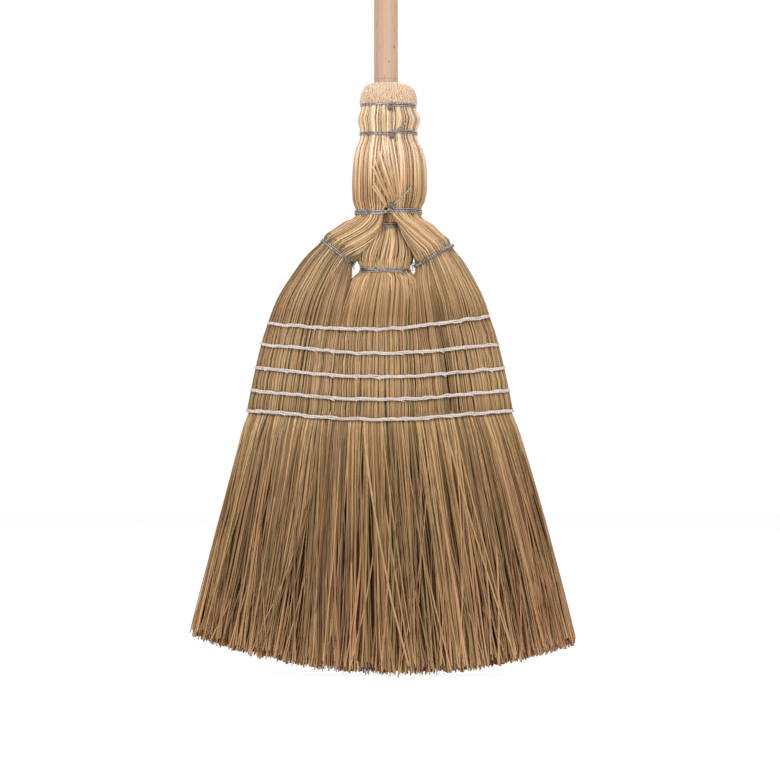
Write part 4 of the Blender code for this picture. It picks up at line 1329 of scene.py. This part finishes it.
wire_material = metal("galvanised", (98, 92, 88), (186, 181, 178), 0.38, 420.0)
nail_material = metal("nail", (84, 78, 78), (134, 126, 124), 0.48, 700.0, rusty=0.7)

# %% Paths of the ties
FRONT = -math.pi / 2
PRESSED_IN = 0.0008  # how deep a tight wire lies in the straw
WIRE_LIFT = WIRE_RADIUS - PRESSED_IN
HOOK_RADIUS = 0.0021


def wound(found, first, last, offsets, lift):
    """A path round a section, from one angle to another, as far along the bundle as the offsets say."""
    angle = np.linspace(first, last, int(60 * (last - first) / TURN) + 1)
    turn = (angle - first) / (last - first) * (len(offsets) - 1)
    offset = np.interp(turn, range(len(offsets)), offsets) + 0.00022 * np.sin(2.0 * angle + 3.0 * turn)
    across = np.array((found[2] - found[0], found[3] - found[1]))
    across /= np.linalg.norm(across)
    path = around(found, angle, lift)
    path[:, 0] += across[1] * offset
    path[:, 2] -= across[0] * offset
    return path


def on_neck(points):
    """Points given by X, height and how far they stand off the front of the neck."""
    placed = []
    for x, z, off in points:
        found = neck_section(z, 0)
        reach = found[2] if x > 0 else -found[0]
        placed.append((x, -found[4] * math.sqrt(1 - (x / reach) ** 2) - off, z))
    return np.array(placed)


def round_nail(x, z, turns, off):
    """A hook of wire round a nail's shank."""
    angle = np.linspace(turns[0] * TURN, turns[1] * TURN, 9)
    return on_neck([(x + HOOK_RADIUS * math.cos(a), z + HOOK_RADIUS * math.sin(a), off) for a in angle])


def middle_of(node):
    low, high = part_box(node)
    return (low[0] + high[0]) / 2, (low[2] + high[2]) / 2


# %% Ties of the neck
NECK_TIES = {
    # level, offsets down the neck at each half turn, start and end in turns of the hook round the nail
    "top": (TOP_WIRE, (0.0018, 0.0010, 0.0000, -0.0012, -0.0008), (0.40, 0.90)),
    "middle": (MIDDLE_WIRE, (-0.0016, -0.0012, 0.0002, 0.0010, 0.0018), (0.55, -0.05)),
    "bottom": (
        BOTTOM_WIRE, (-0.0023, -0.0019, -0.0002, -0.0008, 0.0014, 0.0010, 0.0027), (0.60, -0.10)
    ),
}
# A loose end has a hook of its own, then stands a little off the straw: X, height, how far off
LOOSE_ENDS = {
    "middle": ((-0.10, 0.30), (
        (0.0105, 0.5425, 0.0030), (0.0150, 0.5460, 0.0042), (0.0196, 0.5495, 0.0048),
    )),
    "bottom": ((-0.25, 0.10), (
        (0.0100, 0.4705, 0.0034), (0.0150, 0.4752, 0.0040), (0.0195, 0.4798, 0.0044),
        (0.0240, 0.4850, 0.0046), (0.0256, 0.4905, 0.0040),
    )),
}
for place, (level, offsets, hook) in NECK_TIES.items():
    x, z = middle_of("nail_" + place)
    last = FRONT + (len(offsets) - 1) // 2 * TURN - 0.10
    coil = wound(neck_section(level, 0), FRONT + 0.24, last, offsets, WIRE_LIFT)
    under = on_neck([(x - 0.0012, (z + coil[-1, 2]) / 2, 0.0010), (x, z, 0.0004)])
    paths = [np.concatenate([round_nail(x, z, hook, WIRE_LIFT), coil, under])]
    if place in LOOSE_ENDS:
        turns, loose_end = LOOSE_ENDS[place]
        paths.append(np.concatenate([round_nail(x, z, turns, WIRE_LIFT + 0.0009), on_neck(loose_end)]))
    node = "neck_wire_" + place
    wires = [swept(f"{place}_{i}", path, WIRE_RADIUS, wire_material) for i, path in enumerate(paths)]
    finished(node + "_tie", wires, node)

# %% Ties of the waist, the core and the shoulders
def with_tip(path, reach, off):
    """The path with an end that goes on from it and bends off the straw."""
    ahead = path[-1] - path[-3]
    ahead *= reach / np.linalg.norm(ahead)
    tip = [path[-1] + ahead * s + np.array((0, -off * s * s, 0)) for s in (0.5, 1.0)]
    return np.concatenate([path, tip])


OTHER_TIES = {
    # section, first angle, turns, offsets
    "waist_wire": (
        middle_section(WAIST, *AT_WAIST), FRONT + 0.2, 2.9,
        (0.0019, 0.0015, 0.0006, 0.0002, -0.0010, -0.0012, -0.0022),
    ),
    "core_wire": (
        middle_section(CORE_WIRE, *AT_CORE_WIRE), FRONT - 0.3, 2.6,
        (0.0024, 0.0012, 0.0008, -0.0006, -0.0011, -0.0026),
    ),
    "left_shoulder_wire": (
        shoulder_section("left"), -0.35, 2.05, (0.0014, 0.0011, 0.0, -0.0010, -0.0014)
    ),
}
# Thin ends that hang down in the gaps beside the waist
THIN_ENDS = {
    "left": (
        (-0.0345, -0.0040, 0.4105), (-0.0328, -0.0060, 0.4108), (-0.0322, -0.0062, 0.4085),
        (-0.0319, -0.0060, 0.4048),
    ),
    "right": (
        (0.0300, -0.0030, 0.4118), (0.0262, -0.0055, 0.4115), (0.0263, -0.0060, 0.4080),
        (0.0266, -0.0058, 0.4035),
    ),
}


def thin_end(bundle):
    return swept(bundle + "_end", THIN_ENDS[bundle], 0.00050, wire_material)


for node, (found, first, turns, offsets) in OTHER_TIES.items():
    path = wound(found, first, first + turns * TURN, offsets, WIRE_LIFT + 0.0004)
    wires = [swept(node, with_tip(path, 0.0035, 0.0035), WIRE_RADIUS, wire_material)]
    if node == "left_shoulder_wire":
        wires.append(thin_end("left"))
    finished(node + "_tie", wires, node)


# %% The twisted pair round the right shoulder
def twisted_strand(found, first, turns, pitch, phase):
    """One of two wires twisted round each other and laid round a section."""
    angle = np.linspace(first, first + turns * TURN, 520)
    core = around(found, angle, WIRE_LIFT + 0.0009)
    phase = (run_along(core) / pitch * TURN + phase)[:, None]
    out = around(found, angle, WIRE_LIFT + 0.0019) - core
    out /= np.linalg.norm(out, axis=1, keepdims=True)
    along = np.gradient(core, axis=0)
    side = np.cross(along / np.linalg.norm(along, axis=1, keepdims=True), out)
    return core + (out * np.cos(phase) + side * np.sin(phase)) * 0.00100


pair = []
for i, phase in enumerate((0.0, math.pi)):
    path = twisted_strand(shoulder_section("right"), math.pi - 0.5, 1.12, 0.0044, phase)
    path = with_tip(path, 0.0035 - 0.002 * i, 0.003)
    pair.append(swept(f"strand_{i}", path, 0.00080, wire_material, step=0.0006, uneven=0.0003))
finished(
    "right_shoulder_wire_tie", pair + [thin_end("right")], "right_shoulder_wire"
)

# %% [markdown]
# ## Turned shapes: the nails and the stick
# A nail and a broomstick are both round about an axis, so each is an outline turned round it. The
# steps are fine enough for a smooth edge, and the poles are closed with a single point.

# %% Turning an outline
def turned(name, outline, sides, material, place):
    """A closed shape from (radius, height) pairs, with one pole at each end."""
    rows = outline[1:-1]
    angle = np.arange(sides) * TURN / sides
    ring = np.stack([np.cos(angle), np.sin(angle)], 1)
    verts = [(0.0, 0.0, outline[0][1])]
    for radius, height in rows:
        verts += [(x * radius, y * radius, height) for x, y in ring]
    verts.append((0.0, 0.0, outline[-1][1]))
    steps = [(j, (j + 1) % sides) for j in range(sides)]
    faces = [(0, 1 + j, 1 + k) for j, k in steps]
    for a in range(1, 1 + (len(rows) - 1) * sides, sides):
        faces += [(a + j, a + sides + j, a + sides + k, a + k) for j, k in steps]
    a = 1 + (len(rows) - 1) * sides
    faces += [(len(verts) - 1, a + k, a + j) for j, k in steps]
    mesh = new_mesh(name, [place(*vert) for vert in verts], faces)
    mesh.materials.append(material)
    mesh.shade_smooth()
    return mesh


# %% Nails
for place in NECK_TIES:
    low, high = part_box("nail_" + place)
    x, z = middle_of("nail_" + place)
    length = high[1] - low[1]
    nail_outline = (
        (0.0, 0.0), (0.0012, 0.00006), (0.0021, 0.00028), (0.0027, 0.00062), (0.0030, 0.00098),
        (0.00302, 0.00120), (0.0029, 0.00136), (0.0012, 0.0014), (0.0010, 0.0016),
        (0.0010, length - 0.003), (0.0, length),
    )
    nail = turned("nail", nail_outline, 28, nail_material, lambda a, b, c: (x + a, low[1] + c, z - b))
    finished(f"nail_{place}_steel", [nail], "nail_" + place)

# %% [markdown]
# ## The stick
# A plain softwood stick, sanded but not varnished. The wood is pale and slightly pink, with fine
# fibres along it, broad soft bands, pores, and a few small dark knots.

# %% Wood
# X, height and radius
KNOTS = (
    (0.0080, 0.627, 0.0010), (0.0030, 0.612, 0.0007), (-0.0060, 0.742, 0.0012),
    (0.0070, 0.905, 0.0016), (-0.0020, 1.088, 0.0011), (0.0050, 1.262, 0.0014),
)
SCORED = 0.5955  # height of a scored line just above the crown
STICK_TOP, STICK_EDGE = 1.4, 0.004


def wood_material():
    material, shader = new_material("stick_wood")
    x, y, z = apart(put("TexCoord", output="Object"))
    fibres = grain(900.0, 14.0, 3.0)
    colour = tint(
        span_of(grain(60.0, 1.4, Distortion=0.6), 0.34, 0.66), srgb(198, 161, 137), srgb(216, 185, 165)
    )
    pore = span_of(grain(1900.0, 90.0, 0.0), 0.70, 0.78)
    # The scored line is a groove in the bump; its darker colour is a painted shadow in that groove
    line = span_of(abs(z - SCORED), 0.0006, 0.0002)
    knots = 0.0
    for knot_x, knot_z, radius in KNOTS:
        away = calc("SQRT", (x - knot_x) ** 2.0 + ((z - knot_z) * 0.7) ** 2.0)
        knots = most(knots, span_of(away, radius * 1.5, radius * 0.5) * (y < 0.0))
    for share, mark in (
        (span_of(grain(40.0, 22.0), 0.52, 0.72) * 0.5, (214, 168, 146)),
        (span_of(fibres, 0.60, 0.36) * 0.26, (176, 134, 106)), (pore * 0.5, (132, 92, 66)),
        (knots * 0.62, (120, 78, 54)), (line * 0.35, (150, 108, 88)),
    ):
        colour = tint(share, colour, srgb(*mark))
    fill(shader, Base_Color=colour, Roughness=between(0.5, 0.66, fibres), Specular_IOR_Level=0.35)
    fill(shader, Normal=bump(fibres - pore * 0.6 - line * 0.8, 0.35, 0.0003))
    return material


# %% The stick
def stick_outline():
    points = [(0.0, STICK_TOP), (0.0040, STICK_TOP)]
    for i in range(9):
        angle = math.pi / 2 * (1 - i / 8)
        inward, down = STICK_EDGE * (1 - math.cos(angle)), STICK_EDGE * (1 - math.sin(angle))
        points.append((STICK_RADIUS - inward, STICK_TOP - down))
    points += [(STICK_RADIUS, z) for z in np.linspace(STICK_TOP - 0.02, 0.48, 60)]
    return points + [(STICK_RADIUS, 0.475), (0.005, 0.4305), (0.0, 0.430)]


def uneven(x, y, z):
    """Sanding leaves the stick a few hundredths of a millimetre out of round."""
    grow_by = 1 + 0.0035 * math.sin(9.0 * z + 1.0) * math.sin(2 * math.atan2(y, x) + 5.0 * z)
    return x * grow_by, y * grow_by, z


stick = turned("stick", stick_outline(), 72, wood_material(), uneven)
finished("stick", [stick], "handle")

# %% [markdown]
# ## Sewn rows
# A row is waxed two-ply twine: two runs lie side by side right round the fan, and a needle takes
# stitches over them, in at the upper edge of one and out at the lower edge of the next. The tree lays
# everything along one loop: it samples the loop at each point's share of the way, then steps outward,
# up, and round the cord's own middle for the two plies.

# %% The tree for a sewn row
def sewing_tree():
    given = new_growth(
        "Sewn row", Object="Path", Int="Stitches, Fibres, Seed",
        Float="Ply radius, Run gap, Slope, Stitch share, Rise, Tail, Bob, Twists, Fibre length",
    )
    loop = put("MeshToCurve", Mesh=put("ObjectInfo", Object=given.path, output="Geometry"))
    seed, ply_radius = given.seed, given.ply_radius
    number, along = stored("number"), stored("along")
    draw = drawing(number, seed)

    def laid(splines, points, share, rise, lift, sides, radius, plied=True):
        """Rows of points laid along the loop and swept."""
        rows, up = straw_rows(splines, points), together(0.0, 0.0, 1.0)
        spot = add("SampleCurve", Curves=loop, Factor=calc("WRAP", share, 1.0, 0.0))
        out = calc("CROSS_PRODUCT", Field(spot.outputs["Tangent"]), up)
        bob = noise(together(share * 42.0, seed * 1.7, 0.0), detail=1.0) - 0.5
        rise = rise + bob * given.bob * span_of(share * (1.0 - share), 0.0, 0.01)
        if plied:
            phase = (share * given.twists + number % 2.0 * 0.5) * TURN
            lift = lift + calc("COSINE", phase) * ply_radius
            rise = rise + calc("SINE", phase) * ply_radius
        place = Field(spot.outputs["Position"]) + out * lift + up * rise
        return sweep_rows(rows, place, radius, round_profile(sides))

    strand = number // 2.0 % 2.0 - 0.5
    sway = noise(together(along * 60.0, strand * 9.0, seed * 1.0)) - 0.5
    apart_by = strand * given.run_gap * (1.0 + sway * 1.2) + sway * 0.0012
    runs = laid(4, 620, along, apart_by, ply_radius * 1.9, 5, ply_radius * 1.05)
    stitch = number // 2.0
    reach = given.stitch_share * draw(0.8, 1.2, 1, stitch)
    share = stitch + 0.5 + draw(-0.08, 0.08, 2, stitch) + (along - 0.5) * reach
    slope = given.slope * draw(0.7, 1.3, 3, stitch)
    rise = slope * (1.0 - along * 2.0) - given.tail * along**8.0 * draw(0.2, 1.4, 9, stitch)
    lift = between(-2.0 * ply_radius, given.rise, calc("SINE", along * math.pi) ** 0.35)
    over = laid(given.stitches * 2.0, 16, share / given.stitches, rise, lift, 5, ply_radius)
    spread = draw(-1.0, 1.0, 4)
    share = draw(0.0, 1.0, 5) + along * draw(-1.0, 1.0, 6) * 0.006
    rise = spread * 0.001 + along * draw(-1.0, 0.5, 7) * given.fibre_length
    lift = 0.0006 + along * (1.3 - along) * draw(0.0, 1.0, 8) * given.fibre_length
    fluff = laid(given.fibres, 6, share, rise, lift, 3, 0.00009 - along * 0.00005, plied=False)
    every = add("JoinGeometry")
    for part in (runs, over, fluff):
        plug(every.inputs[0], part)
    return finish_growth(Field(every.outputs[0]), given.material)


sewn_row_tree = sewing_tree()
print("nodes in the sewing tree:", len(sewn_row_tree.nodes))

# %% Twine
def twine_cotton():
    material, shader = new_material("waxed_twine")
    fibres, soil = grain(700.0, 2600.0), noise(put("TexCoord", output="Object"), 45.0)
    colour = tint(span_of(fibres, 0.30, 0.62), srgb(196, 182, 174), srgb(244, 234, 229))
    colour = tint(span_of(soil, 0.52, 0.75) * 0.5, colour, srgb(200, 180, 162))
    fill(shader, Base_Color=colour, Roughness=0.78, Sheen_Weight=0.15, Normal=bump(fibres, 0.5, 0.0002))
    return material


twine_material = twine_cotton()


# %% Rows and knots
def row_loop(level, askew):
    """The line on the straw's surface that a row follows, from its left end over the front."""
    left = fan_section((-ROW_END, SPANS["left"][1]), level, ROW_DEPTH)
    right = fan_section((SPANS["right"][0], ROW_END), level, ROW_DEPTH)
    fan = [fan_point(level, u) for u in np.linspace(-0.3, 0.3, 9)]
    loop = np.concatenate([
        around(left, np.linspace(TURN / 2, 3 * TURN / 4, 24)),
        [(x, -ROW_DEPTH / 2, z) for x, z in fan],
        around(right, np.linspace(-TURN / 4, TURN / 4, 48)),
        [(x, ROW_DEPTH / 2, z) for x, z in reversed(fan)],
        around(left, np.linspace(TURN / 4, TURN / 2, 24)),
    ])
    share = loop[:, 0] / loop[:, 0].max()
    loop[:, 2] += askew * share
    loop[:, 0] -= askew / 3 * abs(share)
    return loop


def knot(x, y, z, size):
    """A small overhand knot."""
    t = np.linspace(0, TURN, 49)
    loop = [np.sin(t) + 2 * np.sin(2 * t), -np.sin(3 * t) * 0.9, np.cos(t) - 2 * np.cos(2 * t)]
    return np.stack(loop, 1) * size + np.array((x, y, z))


# Rows that are not sewn level: which, and by how much their right end is higher than their middle
ASKEW = {1: FIRST_ASKEW}
# Rows that end in a knot: which, and how far along from the left end
KNOTTED = {3: 0.0105, 5: 0.0115}
for row, level in enumerate(ROWS, start=1):
    path = path_object(row_loop(level, ASKEW.get(row, 0.0)))
    meshes = [grow(
        "row", sewn_row_tree, path=path, stitches=24, fibres=90, seed=70 + row, ply_radius=0.00047,
        run_gap=0.0016, slope=0.0009, stitch_share=1.06, rise=0.0019, tail=0.0016, bob=0.0034,
        twists=110.0, fibre_length=0.0032, material=twine_material,
    )]
    bpy.data.objects.remove(path)
    if row in KNOTTED:
        x, z = fan_point(level, -1.0)
        place = (x + KNOTTED[row], -ROW_DEPTH / 2 - 0.0016, z - 0.0010)
        meshes.append(swept("knot", knot(*place, 0.00062), 0.0006, twine_material, 6, 0.0006, 0.0))
    finished(f"sewn_row_{row}", meshes, f"stitch_twine_{row}")

# %% [markdown]
# ## The stage
# The photograph shows the broom on plain white under soft light. The floor and the background are
# white to the camera only, and light the broom at a plain level. A part of the floor's own shading
# stays, so that the broom keeps its shadow.

# %% Stage, lights and camera
SKY, WHITE_SKY, WHITE_FLOOR, FLOOR_SHARE = 0.47, 1.02, 1.08, 0.85


def seen():
    """1 for camera, mirror and glass rays."""
    rays, kinds = add("LightPath").outputs, ("Camera", "Glossy", "Transmission")
    camera, mirror, glass = (Field(rays[f"Is {kind} Ray"]) for kind in kinds)
    return most(most(camera, mirror), glass)


corners = [(-4, -4, 0), (4, -4, 0), (4, 4, 0), (-4, 4, 0)]
floor = new_object("floor", new_mesh("floor", corners, [(0, 1, 2, 3)]))
floor_material, shader = new_material("white_floor")
fill(shader, Base_Color=(0.85, 0.85, 0.85, 1.0), Roughness=0.9)
white = put("Emission", Strength=WHITE_FLOOR)
mixed = put("MixShader", seen() * FLOOR_SHARE, Field(shader.outputs[0]), white)
fill(floor_material.node_tree.nodes["Material Output"], Surface=mixed)
floor.data.materials.append(floor_material)

world = bpy.context.scene.world = bpy.data.worlds.new("studio")
world.use_nodes = True
Field.tree = world.node_tree
sky = Field.tree.nodes["Background"]
fill(sky, Color=(1.0, 1.0, 1.0, 1.0), Strength=between(SKY, WHITE_SKY, seen()))

for name, place, target, size, power in (
    ("front_left", (-1.6, -2.4, 1.9), (0, 0, 0.4), 1.2, 49),
    ("front_right", (1.8, -2.0, 1.2), (0, 0, 0.35), 1.6, 23),
    ("behind", (0.5, 2.6, 1.5), (0, 0, 0.45), 1.8, 44),
):
    lamp = bpy.data.lights.new(name, "AREA")
    lamp.shape, lamp.size, lamp.energy = "DISK", size, power
    softbox = new_object(name, lamp)
    softbox.location = place
    softbox.rotation_euler = (Vector(target) - Vector(place)).to_track_quat("-Z", "Y").to_euler()

# %% Camera
METRES_WIDE, DISTANCE, SENSOR = 0.780, 3.0, 36.0
camera = new_object("camera", bpy.data.cameras.new("camera"))
camera.data.sensor_width = SENSOR
camera.data.lens = SENSOR * DISTANCE / METRES_WIDE
camera.location = (0.004, -DISTANCE, 0.285)
camera.rotation_euler = (math.pi / 2, 0.0, 0.0)
bpy.context.scene.camera = camera
bpy.context.scene.view_settings.view_transform = "Standard"

for guide in guides.values():
    bpy.data.objects.remove(guide)
